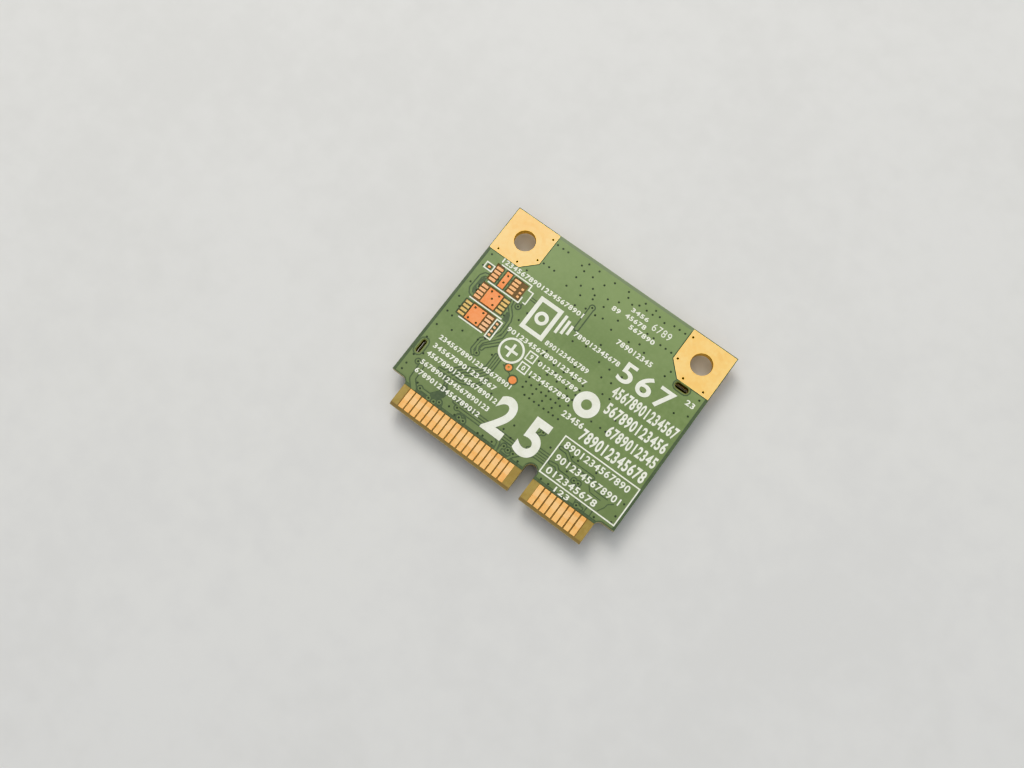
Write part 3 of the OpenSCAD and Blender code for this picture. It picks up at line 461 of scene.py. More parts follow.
def makeMaterial(name):
    look = looks[name]
    mat = bpy.data.materials.new(name)
    mat.use_nodes = True
    tree = mat.node_tree
    shader = tree.nodes["Principled BSDF"]
    place = addNode(tree, "ShaderNodeTexCoord", {}).outputs["Object"]
    colour = placeGroup(tree, toneGroup, {
        "Vector": place, "Base": linear(look["base"]), "Shade": linear(look["shade"]),
        "Scale": look["scale"], "Amount": look["amount"]})["Color"]
    grain = placeGroup(tree, grainGroup, {
        "Vector": place, "Stretch": look.get("stretch", (1, 1, 1)), "Scale": look["grain"],
        "Low": look["rough"][0], "High": look["rough"][1]})
    if "cloth" in look:
        scale, tint, amount = look["cloth"]
        cloth = placeGroup(tree, clothGroup, {"Vector": place, "Scale": scale})["Mask"]
        colour = tintWhere(tree, colour, cloth, amount, tint)
    for low, high, tint, amount, *fade in look.get("regions", []):
        soft = fade[0] if fade else surface["regionSoft"]
        region = placeGroup(tree, regionGroup, {
            "Vector": place, "Soft": soft * mm,
            "Low": boardCorner(*low), "High": boardCorner(*high)})["Mask"]
        colour = tintWhere(tree, colour, region, amount, tint)
    for x, y, inner, outer, tint, amount in look.get("rings", []):
        ring = placeGroup(tree, ringGroup, {
            "Vector": place, "Centre": boardCorner(x, y, 0), "Inner": inner * mm, "Outer": outer * mm,
            "Soft": surface["ringSoft"] * mm})["Mask"]
        colour = tintWhere(tree, colour, ring, amount, tint)
    if "plies" in look:
        scale, tint, amount = look["plies"]
        plies = placeGroup(tree, plyGroup, {"Vector": place, "Scale": scale})["Mask"]
        colour = tintWhere(tree, colour, plies, amount, tint)
    if "specks" in look:
        scale, size, share, tint = look["specks"]
        specks = placeGroup(tree, speckGroup, {
            "Vector": place, "Scale": scale, "Size": size, "Share": share})["Mask"]
        colour = mixColours(tree, specks, colour, linear(tint))
    bump = addNode(tree, "ShaderNodeBump", {"Height": grain["Height"], "Distance": look["relief"]})
    tree.links.new(colour, shader.inputs["Base Color"])
    tree.links.new(grain["Roughness"], shader.inputs["Roughness"])
    tree.links.new(bump.outputs["Normal"], shader.inputs["Normal"])
    shader.inputs["Metallic"].default_value = look.get("metal", 0.0)
    shader.inputs["Coat Weight"].default_value = look.get("coat", 0.0)
    shader.inputs["Coat Roughness"].default_value = surface["coatRough"]
    return mat


materials = {name: makeMaterial(name) for name in looks}
slotOfNode = {part["node"]: part["material_slot"] for part in frame["record"]["subparts"]}
for nodeName, node in frame["nodes"].items():
    node.data.materials.clear()
    node.data.materials.append(materials[slotOfNode[nodeName]])
print("materials made:", len(materials))


# solder mask: copper below it lifts the mask, gaps in the copper leave it lower and darker

maskArt = {
    "gapDrop": 0.018,  # mm below the mask over copper
    "viaDrop": 0.030,
    "sideGap": 0.36,  # copper-free margins: along the sides, along the far edge, around openings
    "backGap": 0.2,
    "landGap": 0.14,
    "sideFrom": 14.9,  # edges beyond this x, or nearer the contacts than this y, get the side's margin
    "frontTo": 2.8,
    "backFrom": 26.7,
    "arcOverlap": 0.3,  # how far the short edges of an arc reach past their ends, as a share
    "feed": ((5.1, 20.6), (5.1, 23.4), (5.6, 24.35), (7.2, 24.35)),  # track from the can to a socket
    "feedWidth": 0.32,
    "feedClear": 0.45,  # no via nearer than this to the straight part of the track
    "feedEnd": 24.4,  # up to this y
    "canLow": 4.5,  # what lies between these y and nearer the middle than this x is under the can
    "canHigh": 20.8,
    "canSide": 14.2,
    "viaRadius": 0.13,
    "padRadius": 0.26,
    "clearance": 0.16,  # gap beside a trace
    "roundSides": 12,  # corners of a via or a pad
    "gapSides": 16,  # of the gap round a pad
    "trackSides": 10,  # of the joints of tracks and of margins
    "marginSides": 6,
    "flatWithin": 0.001,  # mm, a face this near the level counts as lying in it
    "mergeWithin": 0.0004,  # corners this close become one
    "leastWall": 1e-6,  # no wall lower than this
    "keyDigits": 4,  # decimals by which corners are told apart
    "vias": [  # rows of plugged vias: y, then every x in that row
        (9.55, (-1.5, -0.85, -0.2, 0.45, 1.1, 1.75, 2.35, 3.05)), (10.15, (-2.2, -0.85, 0.45, 1.75)),
        (10.85, (-2.25, -1.55, -0.85, -0.2, 0.45, 1.1, 1.75, 2.35)),
        (11.45, (-2.25, -0.85, 0.4, 1.75, 3.05)), (12.2, (-1.4, 1.05, 2.35, 3.05)),
        (12.85, (-0.85, 0.45, 1.75, 3)), (13.55, (-2.5, -0.2, 1.7, 3.05)),
        (14.15, (-0.9, 0.45, 1.7, 3.05)), (14.35, (-2.5,)), (15, (-2.5,)), (15.35, (1.05,)),
        (3.9, (-14.15, 14.2)), (4.7, (-14.15, 14.2)), (5.95, (-14.1,)), (8.4, (-14.15,)),
        (10.2, (-14.15,)), (12.15, (-14.15,)), (14.3, (-14.15,)), (16.4, (-14.15,)), (18.8, (-14.2,)),
        (20.4, (-14.15, 14.2)), (6.3, (14.2,)), (18.2, (14.2,)),
        (25.7, (-8.8, -8.05, -7.35, 7.2, 7.9, 8.65)), (23, (-8.8, -8.05, -7.35, 7.2, 7.9, 8.65)),
        (25.95, (-4.6, -3.2, 0.85, 3.15, 4.55)), (25.35, (-5.2, 1.2, 2.7, 3.7, 4.5, 6.1)),
        (24.95, (-4.6, -3.4, -1.8, 2)), (25.6, (5.3,)), (25.85, (-1,)), (23.85, (-4.9, -2.6, -0.55)),
        (23.35, (-3.9, -2)), (24.3, (0.65,)), (22.4, (-5.2, -3.3)), (22.85, (-1.9, -0.4)), (22.5, (1.8,)),
        (21.7, (0.3, 5.3)), (21.5, (-1.9, -0.6)), (23.2, (5.3, 6.15)),
        (21.2, (6.25, 9.85, -9.85, 1.8, 4.2)), (20.4, (9.6,)), (21.1, (-3.1,)), (17.6, (-0.85, 12.75)),
        (18, (0.7,)), (17.4, (2.9, 4.3)), (16.15, (4.1,)), (17.8, (-4,)), (18.6, (3.2,)), (19.1, (1.9,)),
        (16.25, (5.35,)), (14.7, (5.3, 6.25)), (17.4, (8.5,)), (17.5, (5.9,)), (11.5, (6.1, 7.3, 8)),
        (13.15, (8.15,)), (13.35, (-13.4,)), (12, (-13.4,)), (11.3, (-11.4,)), (10.65, (-12.4,)),
        (11.5, (-9.4,)), (12.1, (-8.85,)), (14.35, (-8.4,)), (15.45, (-8.75,)), (11.05, (-7.1,)),
        (16, (-7.1,)), (17.2, (-6.8,)), (16.7, (-13.1,)), (16, (-13,)), (18.4, (-11.8,)),
        (6.65, (-13.3,)), (3.65, (-11.75,)), (3.6, (-7.35,)), (3.2, (-6.3, -2.45, 2.3, 5.45, 6.4)),
        (7.5, (-4.5,)), (3.1, (-3.05,)), (3.25, (-1.25, 12.4)), (6.15, (-1.65, -0.35)), (5.65, (-2.15,)),
        (5.15, (-1.05,)), (4.8, (0.15,)), (6.8, (2.25,)), (6.55, (4.25,)), (7.25, (9.85,)),
        (7.15, (6.8, 7.5)), (5.5, (7.2,)),
    ],
    "padVias": [  # vias with a pad of their own inside a gap
        (-11.15, 3.3), (-9.75, 3), (-9.05, 3), (-8.5, 3.3), (-5.75, 3.25), (-5.15, 3.2), (-6.55, 4.0),
        (0.1, 3.65), (0.7, 3.55), (1.4, 3.55), (2.65, 7.4), (8.4, 5.15), (8.95, 5.15), (10.15, 3.15),
        (-13.2, 5.6), (-8.6, 10.2), (-8.1, 17.2), (-1.35, 22.0), (-13.05, 16.5),
    ],
    "traces": [  # width, then for each track the points of its middle line
        (1.06, ((11.38, 20.45), (12.32, 20.45))),
        (1.0, ((-14.0, 6.65), (-14.0, 7.75))),
        (0.40, ((-1.35, 22.0), (-1.35, 19.0))),
        (0.24, ((-12.85, 18.15), (-13.3, 18.05), (-13.6, 17.6), (-13.65, 15.9), (-13.35, 15.4),
                (-12.9, 15.3))),
        (0.20, ((-9.0, 17.4), (-8.85, 16.7), (-8.1, 15.9), (-7.85, 15.3), (-7.8, 13.7), (-8.1, 12.85),
                (-9.2, 11.7), (-9.25, 10.3), (-8.9, 9.9)),
         ((-7.45, 14.6), (-7.45, 13.3), (-8.85, 11.6), (-8.95, 10.9), (-8.6, 10.2)),
         ((-7.1, 12.6), (-8.35, 11.3), (-8.45, 10.9))),
        (0.16, ((-6.7, 11.3), (-6.7, 9.5), (-7.4, 8.7), (-8.6, 8.1), (-9.6, 7.1), (-10.3, 6.2)),
         ((-6.4, 11.3), (-6.4, 9.4), (-7.1, 8.5), (-8.4, 7.8), (-9.3, 6.8), (-9.9, 5.9)),
         ((-6.1, 11.3), (-6.1, 9.3), (-6.8, 8.3), (-8.2, 7.5), (-9.0, 6.5), (-9.2, 5.3)),
         ((-5.8, 8.5), (-6.3, 7.3), (-8.0, 6.5), (-10.8, 6.35))),
        (0.50, ((-12.6, 5.4), (-12.5, 3.7), (-11.7, 2.85))),
        (0.22, ((-11.15, 3.3), (-9.9, 3.3))),
        (0.20, ((-6.55, 4.0), (-2.6, 4.0), (-1.1, 4.0), (-0.6, 3.6), (-0.45, 2.8))),
        (0.17, ((-7.2, 4.35), (-1.3, 4.32), (-0.35, 4.32), (1.6, 4.32)),
         ((-7.2, 4.68), (-0.9, 4.66), (-0.3, 4.62), (1.6, 4.62))),
        (0.20, ((-5.75, 3.25), (-5.15, 3.2)), ((0.1, 3.65), (-0.1, 3.3), (-0.05, 2.8)),
         ((2.1, 4.0), (1.45, 3.3), (1.2, 2.8))),
        (0.16, ((4.75, 5.68), (3.0, 5.66), (2.3, 5.0)), ((4.75, 5.36), (3.1, 5.34), (2.4, 4.7)),
         ((4.75, 5.06), (3.2, 5.04), (2.6, 4.5)), ((4.75, 4.78), (3.3, 4.76), (2.9, 4.45))),
        (0.18, ((2.65, 7.4), (2.25, 6.8))),
        (0.20, ((5.2, 5.2), (5.95, 5.3), (6.35, 4.95), (7.6, 4.95)), ((8.4, 5.15), (8.95, 5.15)),
         ((5.2, 7.2), (6.0, 7.2), (6.9, 6.6), (9.9, 6.6)), ((10.15, 3.15), (10.8, 3.15))),
    ],
    "gapLines": [  # gaps between two pours, given in the same way
        (0.13, ((10.0, 5.7), (10.5, 5.15), (11.9, 5.1)), ((10.8, 5.6), (12.5, 5.6)),
         ((13.3, 5.6), (12.8, 5.2), (12.7, 4.7), (12.3, 4.0)),
         ((5.8, 7.35), (6.6, 6.95), (7.1, 6.35), (10.0, 6.3), (11.2, 6.35))),
        (0.14, ((11.2, 2.8), (11.2, 3.9)), ((11.95, 2.8), (11.9, 3.9)),
         ((9.9, 2.8), (9.75, 3.6), (10.2, 3.75), (10.55, 3.4), (10.5, 2.8)),
         ((-8.0, 2.8), (-8.1, 3.4), (-8.6, 3.75), (-9.0, 3.5)),
         ((-6.2, 2.8), (-6.15, 3.5), (-5.9, 3.7), (-5.1, 3.65), (-4.8, 3.3), (-4.8, 2.8)),
         ((-11.6, 18.9), (-11.6, 17.9)), ((-10.4, 19.4), (-10.65, 18.9), (-10.35, 18.5), (-10.45, 17.8)),
         ((-7.6, 18.95), (-6.75, 18.95)), ((-7.6, 18.65), (-6.75, 18.65)),
         ((-7.9, 17.9), (-7.85, 17.1), (-8.1, 16.85), (-8.4, 17.0)),
         ((-5.4, 10.9), (-4.9, 10.6), (-4.3, 10.5), (-4.1, 10.3))),
    ],
    "windows": [  # openings shared by a group of pads: lowest and highest corner
        (-12.95, 15.0, -10.0, 17.35), (-12.3, 12.5, -9.2, 14.75), (-12.95, 17.75, -12.0, 20.0),
        (-11.5, 17.75, -10.7, 19.95), (-10.4, 17.7, -8.5, 19.85),
    ],
    "bareAreas": [  # outlines with no copper below the mask
        ((-9.9, 2.75), (-9.35, 2.75), (-8.4, 4.0), (-8.3, 4.6), (-8.9, 5.4), (-9.4, 4.9), (-9.3, 4.4),
         (-9.95, 3.6)),
        ((-8.65, 14.9), (-8.0, 14.9), (-8.0, 15.6), (-8.45, 16.1), (-8.75, 16.0)),
        ((-13.35, 15.6), (-12.85, 15.4), (-12.85, 17.75), (-13.15, 17.75), (-13.4, 17.3)),
        ((-9.5, 5.4), (-9.1, 5.5), (-9.5, 6.3), (-10.0, 6.1)),
    ],
}


def circleLoop(x, y, radius, sides):
    steps = [2 * math.pi * i / sides for i in range(sides)]
    return [(x + radius * math.cos(a), y + radius * math.sin(a)) for a in steps]


def boxLoop(x0, y0, x1, y1):
    return [(x0, y0), (x1, y0), (x1, y1), (x0, y1)]


def ribbonLoops(points, width, sides):  # one quad a stretch, with a joint of so many sides at each point
    loops = [circleLoop(x, y, width / 2, sides) for x, y in points] if sides else []
    for a, b in zip(points, points[1:]):
        a, b = Vector(a), Vector(b)
        along = (b - a).normalized()
        side = Vector((-along.y, along.x)) * width / 2
        loops.append([tuple(p) for p in (a - side, b - side, b + side, a + side)])
    return loops


def faceTriangles(nodeName, top):  # one flat face of a CAD node, in board coordinates
    mesh = frame["nodes"][nodeName].data
    low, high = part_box(nodeName)
    level = high.z if top else low.z
    loops = []
    for face in mesh.polygons:
        corners = [mesh.vertices[i].co for i in face.vertices]
        if all(abs(c.z - level) < maskArt["flatWithin"] * mm for c in corners):
            loop = [(c.x / mm, (c.y - edgeY) / mm) for c in corners]
            loops.append(loop if top else loop[::-1])
    return loops


def outlineEdges(loops):  # edges of the triangles that no other triangle shares
    edges = {}
    for loop in loops:
        keys = [tuple(round(c, maskArt["keyDigits"]) for c in corner) for corner in loop]
        for a, b in zip(keys, keys[1:] + keys[:1]):
            edges[a, b] = True
    return [edge for edge in edges if edge[::-1] not in edges]


def marginLoops(edges):  # strips without copper along the outline and around the openings
    art = maskArt
    loops = []
    for a, b in edges:
        margin = "landGap"
        if min(abs(a[0]), abs(b[0])) > art["sideFrom"] or max(a[1], b[1]) < art["frontTo"]:
            margin = "sideGap"
        elif min(a[1], b[1]) > art["backFrom"]:
            margin = "backGap"
        width = 2 * art[margin]
        sides = art["marginSides"]
        if math.dist(a, b) < width:  # the short edges of an arc overlap each other instead
            sides = 0
            step = (Vector(b) - Vector(a)) * art["arcOverlap"]
            a, b = Vector(a) - step, Vector(b) + step
        loops += ribbonLoops((a, b), width, sides)
    return loops


def insideLoop(spots, loop):  # which of the spots lie inside the loop
    inside = np.zeros(len(spots), bool)
    x, y = spots[:, 0], spots[:, 1]
    for (x0, y0), (x1, y1) in zip(loop, loop[1:] + loop[:1]):
        if y0 != y1:
            inside ^= ((y0 > y) != (y1 > y)) & (x < x0 + (x1 - x0) * (y - y0) / (y1 - y0))
    return inside


def cutRegions(shapes):  # triangles cut along every shape's outline, with the kinds that cover each
    points, loops = [], []
    for _, loop in shapes:
        loops.append(list(range(len(points), len(points) + len(loop))))
        points += [Vector(p) for p in loop]
    corners, _, faces, *_ = delaunay_2d_cdt(points, [], loops, 0, maskArt["mergeWithin"], False)
    flat = np.array([tuple(c) for c in corners])
    middles = flat[np.array(faces)].mean(axis=1)
    covers = [set() for _ in faces]
    for kind, loop in shapes:
        low, high = np.min(loop, axis=0), np.max(loop, axis=0)
        near = np.nonzero(((middles > low) & (middles < high)).all(axis=1))[0]
        for i in near[insideLoop(middles[near], [tuple(p) for p in loop])]:
            covers[i].add(kind)
    return corners, list(zip(faces, covers))


def layeredSheet(name, corners, regions, layers, foot, side):  # side is 1 for a sheet that faces up
    places, index, polygons, slotIds, rims = [], {}, [], [], {}

    def corner(i, height):
        key = (i, round(height, maskArt["keyDigits"]))
        if key not in index:
            index[key] = len(places)
            places.append(boardCorner(corners[i].x, corners[i].y, foot + side * height))
        return index[key]

    for face, kinds in regions:
        layer = maskLayer(kinds)
        if layer is None:
            continue
        height, slotId = layers[layer]
        polygons.append([corner(i, height) for i in face])
        polygons.append([corner(i, 0) for i in reversed(face)])
        slotIds += [slotId, slotId]
        for a, b in zip(face, face[1:] + face[:1]):
            rims[a, b] = (height, slotId)
    for (a, b), (height, slotId) in rims.items():  # walls down to the neighbour or to the foot
        low = rims[b, a][0] if (b, a) in rims else 0
        if height > low + maskArt["leastWall"]:
            polygons.append([corner(a, height), corner(a, low), corner(b, low), corner(b, height)])
            slotIds.append(slotId)
    mesh = bpy.data.meshes.new(name)
    mesh.from_pydata(places, [], [loop[::side] for loop in polygons])
    mesh.polygons.foreach_set("material_index", slotIds)
    return mesh


def addPiece(name, mesh, slots):  # the first slot is the one in the record
    for slot in slots:
        mesh.materials.append(materials[slot])
    piece = bpy.data.objects.new(name, mesh)
    bpy.context.collection.objects.link(piece)
    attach(piece, "root")
    print(name + ":", len(mesh.polygons), "faces")
    return piece


def trackShapes(points, width):  # a track and the gap beside it
    wide = width + 2 * maskArt["clearance"]
    return ([("trace", loop) for loop in ribbonLoops(points, width, maskArt["trackSides"])]
            + [("gap", loop) for loop in ribbonLoops(points, wide, maskArt["trackSides"])])


def viaShape(x, y):
    return "via", circleLoop(x, y, maskArt["viaRadius"], maskArt["roundSides"])


def upperShapes():
    art = maskArt
    loops = faceTriangles("solder_mask_upper", True)
    shapes = [("mask", loop) for loop in loops]
    shapes += [("gap", loop) for loop in marginLoops(outlineEdges(loops))]
    shapes += [("window", boxLoop(*window)) for window in art["windows"]]
    for width, *tracks in art["traces"]:
        for points in tracks:
            shapes += trackShapes(points, width)
    for width, *gaps in art["gapLines"]:
        for points in gaps:
            shapes += [("gap", loop) for loop in ribbonLoops(points, width, art["trackSides"])]
    shapes += [("gap", list(loop)) for loop in art["bareAreas"]]
    for x, y in art["padVias"]:
        shapes.append(("trace", circleLoop(x, y, art["padRadius"], art["roundSides"])))
        shapes.append(("gap", circleLoop(x, y, art["padRadius"] + art["clearance"], art["gapSides"])))
        shapes.append(viaShape(x, y))
    for y, row in art["vias"]:
        shapes += [viaShape(x, y) for x in row]
    return shapes


def hiddenByCan(edge):
    return all(maskArt["canLow"] < y < maskArt["canHigh"] and abs(x) < maskArt["canSide"] for x, y in edge)


def lowerShapes():  # the same vias come out below, and tracks lead from the can to the sockets
    art = maskArt
    loops = faceTriangles("solder_mask_lower", False)
    shapes = [("mask", loop) for loop in loops]
    seen = [edge for edge in outlineEdges(loops) if not hiddenByCan(edge)]
    shapes += [("gap", loop) for loop in marginLoops(seen)]
    for side in (-1, 1):
        shapes += trackShapes([(side * x, y) for x, y in art["feed"]], art["feedWidth"])
    feedX = art["feed"][0][0]
    for x, y in [(x, y) for y, row in art["vias"] for x in row] + art["padVias"]:
        onFeed = abs(abs(x) - feedX) < art["feedClear"] and y < art["feedEnd"]
        if y < art["canLow"] or y > art["canHigh"] and not onFeed:
            shapes.append(viaShape(x, y))
    return shapes


def maskLayer(kinds):  # a via wins over a track, and a track over a gap
    if "mask" not in kinds or "window" in kinds:
        return None
    for kind, layer in (("via", "via"), ("trace", "pour"), ("gap", "gap")):
        if kind in kinds:
            return layer
    return "pour"


def makeMask(name, nodeName, shapes, side):
    low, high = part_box(nodeName)
    thick = (high.z - low.z) / mm
    foot = (low.z if side > 0 else high.z) / mm
    corners, regions = cutRegions(shapes)
    layers = {  # height and material slot
        "pour": (thick, 0), "gap": (thick - maskArt["gapDrop"], 1), "via": (thick - maskArt["viaDrop"], 2)}
    mesh = layeredSheet(name, corners, regions, layers, foot, side)
    piece = addPiece(name, mesh, ("solder_mask", "mask_gap", "via_plug"))
    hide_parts(nodeName)


makeMask("solderMaskTop", "solder_mask_upper", upperShapes(), 1)
makeMask("solderMaskBottom", "solder_mask_lower", lowerShapes(), -1)


# legend: rows of plain counting digits

legend = {
    "foot": 2.48,  # mm, below the mask's surface
    "top": 2.52,
    "rows": [  # first and last x, foot, height, how many digits and perhaps a weight of their own
        (-12.7, -1.6, 20.3, 0.62, 21), (13.1, 14.2, 19.1, 0.66, 2),
        (5.3, 12.0, 16.95, 2.5, 3, 0.014), (6.0, 14.45, 15.05, 1.45, 14),
        (6.5, 14.4, 13.05, 1.45, 12), (8.1, 14.45, 11.1, 1.4, 10),
        (6.0, 14.4, 9.05, 1.5, 12), (5.3, 13.8, 7.4, 0.85, 13, 0.022),
        (5.3, 13.75, 5.7, 0.85, 13, 0.022), (5.3, 11.8, 4.05, 0.82, 9, 0.022),
        (7.25, 9.1, 2.9, 0.62, 3, 0.022), (-13.0, -3.2, 9.0, 0.6, 20),
        (-12.95, -4.4, 7.85, 0.62, 15), (-13.0, -3.45, 6.75, 0.62, 19),
        (-12.95, -3.65, 5.55, 0.62, 19), (-12.9, -4.1, 4.45, 0.62, 17),
        (-1.2, 4.9, 18.15, 0.62, 12), (-3.2, 2.6, 15.45, 0.62, 12),
        (-7.5, 3.2, 14.25, 0.6, 19), (-2.4, 2.85, 13.05, 0.6, 10),
        (-2.5, 2.85, 11.6, 0.6, 10), (3.0, 5.75, 10.1, 0.75, 5),
        (2.3, 4.55, 24.25, 0.52, 4), (2.1, 4.8, 23.3, 0.58, 5),
        (3.2, 6.55, 22.45, 0.58, 6), (5.3, 7.7, 23.85, 0.9, 4, 0.0),
        (3.1, 7.8, 20.2, 0.65, 9), (0.4, 1.45, 23.1, 0.6, 2),
        (-3.58, -3.22, 13.1, 0.6, 1), (-3.58, -3.22, 11.6, 0.6, 1),
        (-3.35, -0.65, 3.8, 4.7, 1), (0.8, 3.4, 3.8, 4.7, 1),
    ],
    "firsts": {2: 5, 30: 2, 31: 5},  # rows that start with a digit of their own
    "weight": 0.03,  # how much bolder than the font, as a share of its size
    "pitch": 0.57,  # from digit to digit, as a share of the font's size
    "thick": 0.1,  # before the row is fitted between foot and top
    "four": [  # outline and counter of an open 4: x, y and how each moves with the weight
        ((0.3, 0, -1, -1), (0.398, 0, 1, -1), (0.398, 0.224, 1, -1), (0.471, 0.224, 1, -1),
         (0.471, 0.312, 1, 1), (0.398, 0.312, 1, 1), (0.398, 0.691, 1, 1), (0.356, 0.691, -0.5, 1),
         (0.011, 0.269, -1, 0.4), (0.011, 0.224, -1, -1), (0.3, 0.224, -1, -1)),
        ((0.3, 0.312, -1, 1), (0.142, 0.312, 2.09, 1), (0.3, 0.508, -1, -2.84)),
    ],
    "smooth": (3, 6, 12),  # steps of a curve in small, tall and large rows
    "tall": 0.8,  # mm
    "large": 2,
}


def digitCurve(digit, weight, smooth):
    if digit == 4:  # the font's own 4 closes up when it is made bold
        curve = bpy.data.curves.new("digit", "CURVE")
        curve.dimensions, curve.fill_mode = "2D", "BOTH"
        for loop in legend["four"]:
            spline = curve.splines.new("POLY")
            spline.points.add(len(loop) - 1)
            spline.use_cyclic_u = True
            for point, (x, y, moveX, moveY) in zip(spline.points, loop):
                point.co = (x + moveX * weight, y + moveY * weight, 0, 1)
    else:
        curve = bpy.data.curves.new("digit", "FONT")
        curve.body = str(digit)
        curve.size, curve.offset, curve.resolution_u = 1.0, weight, smooth
    curve.extrude = legend["thick"]
    return curve


def digitMesh(digit, weight, smooth):
    holder = bpy.data.objects.new("digit", digitCurve(digit, weight, smooth))
    bpy.context.collection.objects.link(holder)
    bpy.context.view_layer.update()
    mesh = bpy.data.meshes.new_from_object(holder.evaluated_get(bpy.context.evaluated_depsgraph_get()))
    bpy.data.objects.remove(holder)
    return mesh


def rowMesh(first, count, weight, smooth, cut):  # digits that count up; cut keeps the digits made so far
    meshes = []
    for i in range(count):
        key = ((first + i) % 10, weight, smooth)
        if key not in cut:
            cut[key] = digitMesh(*key)
        mesh = cut[key].copy()
        mesh.transform(Matrix.Translation((i * legend["pitch"], 0, 0)))
        meshes.append(mesh)
    return joinMeshes("digitRow", meshes)


def fitRow(mesh, x0, x1, foot, height):  # scales a row of digits into its place on the board
    low, high = (Vector([pick(v.co[i] for v in mesh.vertices) for i in range(3)]) for pick in (min, max))
    spans = (x1 - x0, height, legend["top"] - legend["foot"])
    starts = (x0, foot, legend["foot"])
    for v in mesh.vertices:
        shares = [(v.co[i] - low[i]) / (high[i] - low[i]) for i in range(3)]
        v.co = boardCorner(*(starts[i] + shares[i] * spans[i] for i in range(3)))


def joinMeshes(name, meshes):
    places, polygons = [], []
    for mesh in meshes:
        start = len(places)
        places += [tuple(v.co) for v in mesh.vertices]
        polygons += [[start + i for i in face.vertices] for face in mesh.polygons]
    joined = bpy.data.meshes.new(name)
    joined.from_pydata(places, [], polygons)
    return joined


def makeLegend():
    meshes, cut = [], {}
    for i, (x0, x1, foot, height, count, *own) in enumerate(legend["rows"]):
        weight = own[0] if own else legend["weight"]
        smooth = legend["smooth"][(height > legend["tall"]) + (height > legend["large"])]
        mesh = rowMesh(legend["firsts"].get(i, i + 1), count, weight, smooth, cut)
        fitRow(mesh, x0, x1, foot, height)
        meshes.append(mesh)
    addPiece("legendDigits", joinMeshes("legendDigits", meshes), ("legend_ink",))


makeLegend()


# plating of the screw holes

plating = {"outer": 1.295, "inner": 1.265, "low": 1.52, "high": 2.478, "sides": 64}


def tubeMesh(x, y, outer, inner, low, high, sides):
    places, polygons = [], []
    rings = [(outer, low), (outer, high), (inner, high - (outer - inner)), (inner, low)]
    for radius, z in rings:
        places += [boardCorner(px, py, z) for px, py in circleLoop(x, y, radius, sides)]
    for ring in range(len(rings)):
        here, there = ring * sides, (ring + 1) % len(rings) * sides
        for i in range(sides):
            j = (i + 1) % sides
            polygons.append([here + i, here + j, there + j, there + i])
    mesh = bpy.data.meshes.new("holeTube")
    mesh.from_pydata(places, [], polygons)
    return mesh


def makePlating():
    tubes = [tubeMesh(side * holeX, holeY, **plating) for side in (-1, 1)]
    addPiece("holePlating", joinMeshes("holePlating", tubes), ("gold_plate",))


makePlating()


# solder fillets below the board

fillets = {
    "reach": 0.13,  # mm along the land, and up the part
    "rise": 0.22,
    "riseShare": 0.7,  # no higher than this share of the part's end
    "nearShare": 0.75,  # an end no further off than this share of a body belongs to it
    "steps": 5,
    "wallReach": 0.16,  # along the walls of the frame
    "wallRise": 0.14,
    "wallPitch": 0.8,
    "wallUneven": 0.35,
    "notch": (5.1, 0.9),  # middle and half width of the openings in the back wall
    "slots": ((11.85, 20.4), (-13.95, 7.2)),  # locating slots, which stay free of solder
    "slotHalf": 0.9,
    "corner": 0.5,  # bare length at each corner of the frame
    "socketFeet": (1.8, 0.5, 0.13),  # widths of the ground and signal feet, and their rise
    "keyDigits": 3,  # decimals by which corners are told apart
    "ends": {  # small parts and their ends
        "small_capacitors": "small_capacitor_ends", "resistors": "resistor_ends",
        "bulk_capacitors": "bulk_capacitor_ends", "band_filters": "band_filter_ends",
    },
}


def islandBoxes(nodeName):  # corners of every loose part of a CAD node, in board coordinates
    mesh = frame["nodes"][nodeName].data
    digits = fillets["keyDigits"]
    spots = [tuple(round(c / mm, digits) for c in (v.co.x, v.co.y - edgeY, v.co.z)) for v in mesh.vertices]
    owner = {spot: spot for spot in spots}

    def root(spot):
        while owner[spot] != spot:
            owner[spot] = owner[owner[spot]]
            spot = owner[spot]
        return spot

    for edge in mesh.edges:
        first, second = (spots[i] for i in edge.vertices)
        owner[root(first)] = root(second)
    groups = {}
    for spot in owner:
        groups.setdefault(root(spot), []).append(spot)
    return [(np.min(group, axis=0), np.max(group, axis=0)) for group in groups.values()]


def filletMesh(start, stop, out, level, reach, rise):  # hollow wedge from start to stop, against a wall
    places = []
    steps = fillets["steps"]
    for x, y in (start, stop):
        places.append(boardCorner(x, y, level))
        for i in range(steps + 1):
            angle = i / steps * math.pi / 2
            away, down = reach * (1 - math.sin(angle)), rise * (1 - math.cos(angle))
            places.append(boardCorner(x + out[0] * away, y + out[1] * away, level - down))
    half = steps + 2
    polygons = [list(range(half)), list(range(2 * half - 1, half - 1, -1))]
    for i in range(half):
        j = (i + 1) % half
        polygons.append([j, i, half + i, half + j])
    mesh = bpy.data.meshes.new("fillet")
    along = Vector((stop[0] - start[0], stop[1] - start[1], 0))
    if along.cross(Vector((*out, 0))).z < 0:
        polygons = [loop[::-1] for loop in polygons]
    mesh.from_pydata(places, [], polygons)
    return mesh


def sideFillet(low, high, out, level, reach, rise):  # fillet at the side of a box that faces out
    corner = [high[i] if out[i] > 0 else low[i] for i in (0, 1)]
    start, stop = list(corner), list(corner)
    along = 1 if out[0] else 0
    start[along], stop[along] = low[along], high[along]
    return filletMesh(start, stop, out, level, reach, rise)


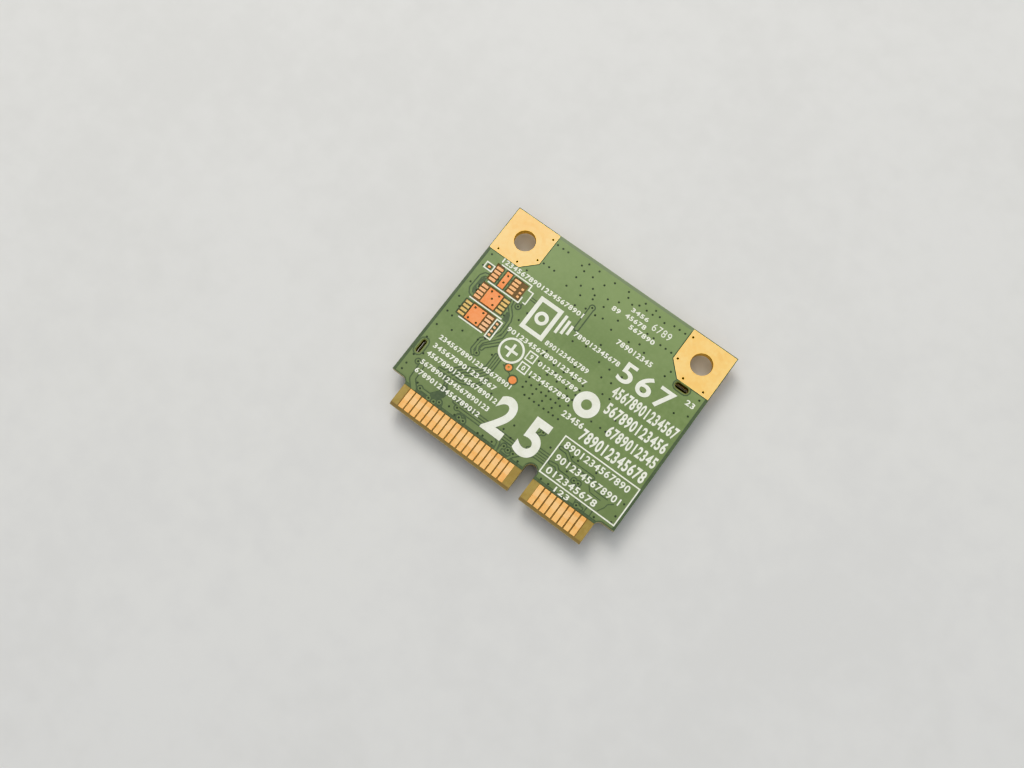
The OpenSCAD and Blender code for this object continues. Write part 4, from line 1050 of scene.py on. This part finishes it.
def endFillets(bodyNode, endNode):
    meshes = []
    ends = islandBoxes(endNode)
    for low, high in islandBoxes(bodyNode):
        middle = (low + high) / 2
        for endLow, endHigh in ends:
            away = (endLow + endHigh) / 2 - middle
            if np.abs(away[:2]).max() > (high - low)[:2].max() * fillets["nearShare"]:
                continue
            axis = int(abs(away[1]) > abs(away[0]))
            out = [0, 0]
            out[axis] = 1 if away[axis] > 0 else -1
            rise = min(fillets["rise"], fillets["riseShare"] * (endHigh - endLow)[2])
            meshes.append(sideFillet(endLow, endHigh, out, endHigh[2], fillets["reach"], rise))
    return meshes


def socketFillets(level):
    groundFoot, signalFoot, rise = fillets["socketFeet"]
    meshes = []
    for low, high in islandBoxes("antenna_socket_rings"):
        x = (low[0] + high[0]) / 2
        low[0], high[0] = x - groundFoot / 2, x + groundFoot / 2
        meshes += [sideFillet(low, high, (0, out), level, fillets["reach"], rise) for out in (-1, 1)]
    for low, high in islandBoxes("antenna_socket_pins"):
        y = (low[1] + high[1]) / 2
        out = -1 if low[0] > 0 else 1
        low[1], high[1] = y - signalFoot / 2, y + signalFoot / 2
        meshes.append(sideFillet(low, high, (out, 0), level, fillets["reach"], rise))
    return meshes


def wallFillets(level):  # an uneven bead along the outer faces of the frame
    low, high = [(c.x / mm, (c.y - edgeY) / mm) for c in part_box("shield_frame")]
    notch, half = fillets["notch"]
    corner = fillets["corner"]
    left, right, front, back = low[0] + corner, high[0] - corner, low[1] + corner, high[1] - corner
    runs = [  # axis, first and last place along it, place of the wall and the side that faces out
        (0, left, right, low[1], -1), (1, front, back, low[0], -1), (1, front, back, high[0], 1),
        (0, left, -notch - half, high[1], 1), (0, -notch + half, notch - half, high[1], 1),
        (0, notch + half, right, high[1], 1),
    ]
    meshes = []
    for axis, first, last, wall, out in runs:
        count = max(1, round((last - first) / fillets["wallPitch"]))
        for i in range(count):
            a, b = (first + (last - first) * k / count for k in (i, i + 1))
            size = 1 - fillets["wallUneven"] * random.random()
            start, stop = ((a, wall), (b, wall)) if axis == 0 else ((wall, a), (wall, b))
            middle = ((start[0] + stop[0]) / 2, (start[1] + stop[1]) / 2)
            clear = fillets["slotHalf"] + (b - a) / 2
            if any(math.dist(middle, slot) < clear for slot in fillets["slots"]):
                continue
            outward = (0, out) if axis == 0 else (out, 0)
            reach, rise = fillets["wallReach"] * size, fillets["wallRise"] * size
            meshes.append(filletMesh(start, stop, outward, level, reach, rise))
    return meshes


def makeFillets():
    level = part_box("component_lands")[0].z / mm
    meshes = wallFillets(level) + socketFillets(level)
    for bodyNode, endNode in fillets["ends"].items():
        meshes += endFillets(bodyNode, endNode)
    addPiece("solderFillets", joinMeshes("solderFillets", meshes), ("solder_tin",))


makeFillets()


# stage

def makeFloor():
    size = studio["floorSize"]
    corners = [(x, y, 0) for x, y in boxLoop(-size, -size, size, size)]
    mesh = bpy.data.meshes.new("studioFloor")
    mesh.from_pydata(corners, [], [(0, 1, 2, 3)])
    mesh.materials.append(materials["floor_paper"])
    floor = bpy.data.objects.new("studioFloor", mesh)
    bpy.context.collection.objects.link(floor)


makeFloor()
print("scene done")
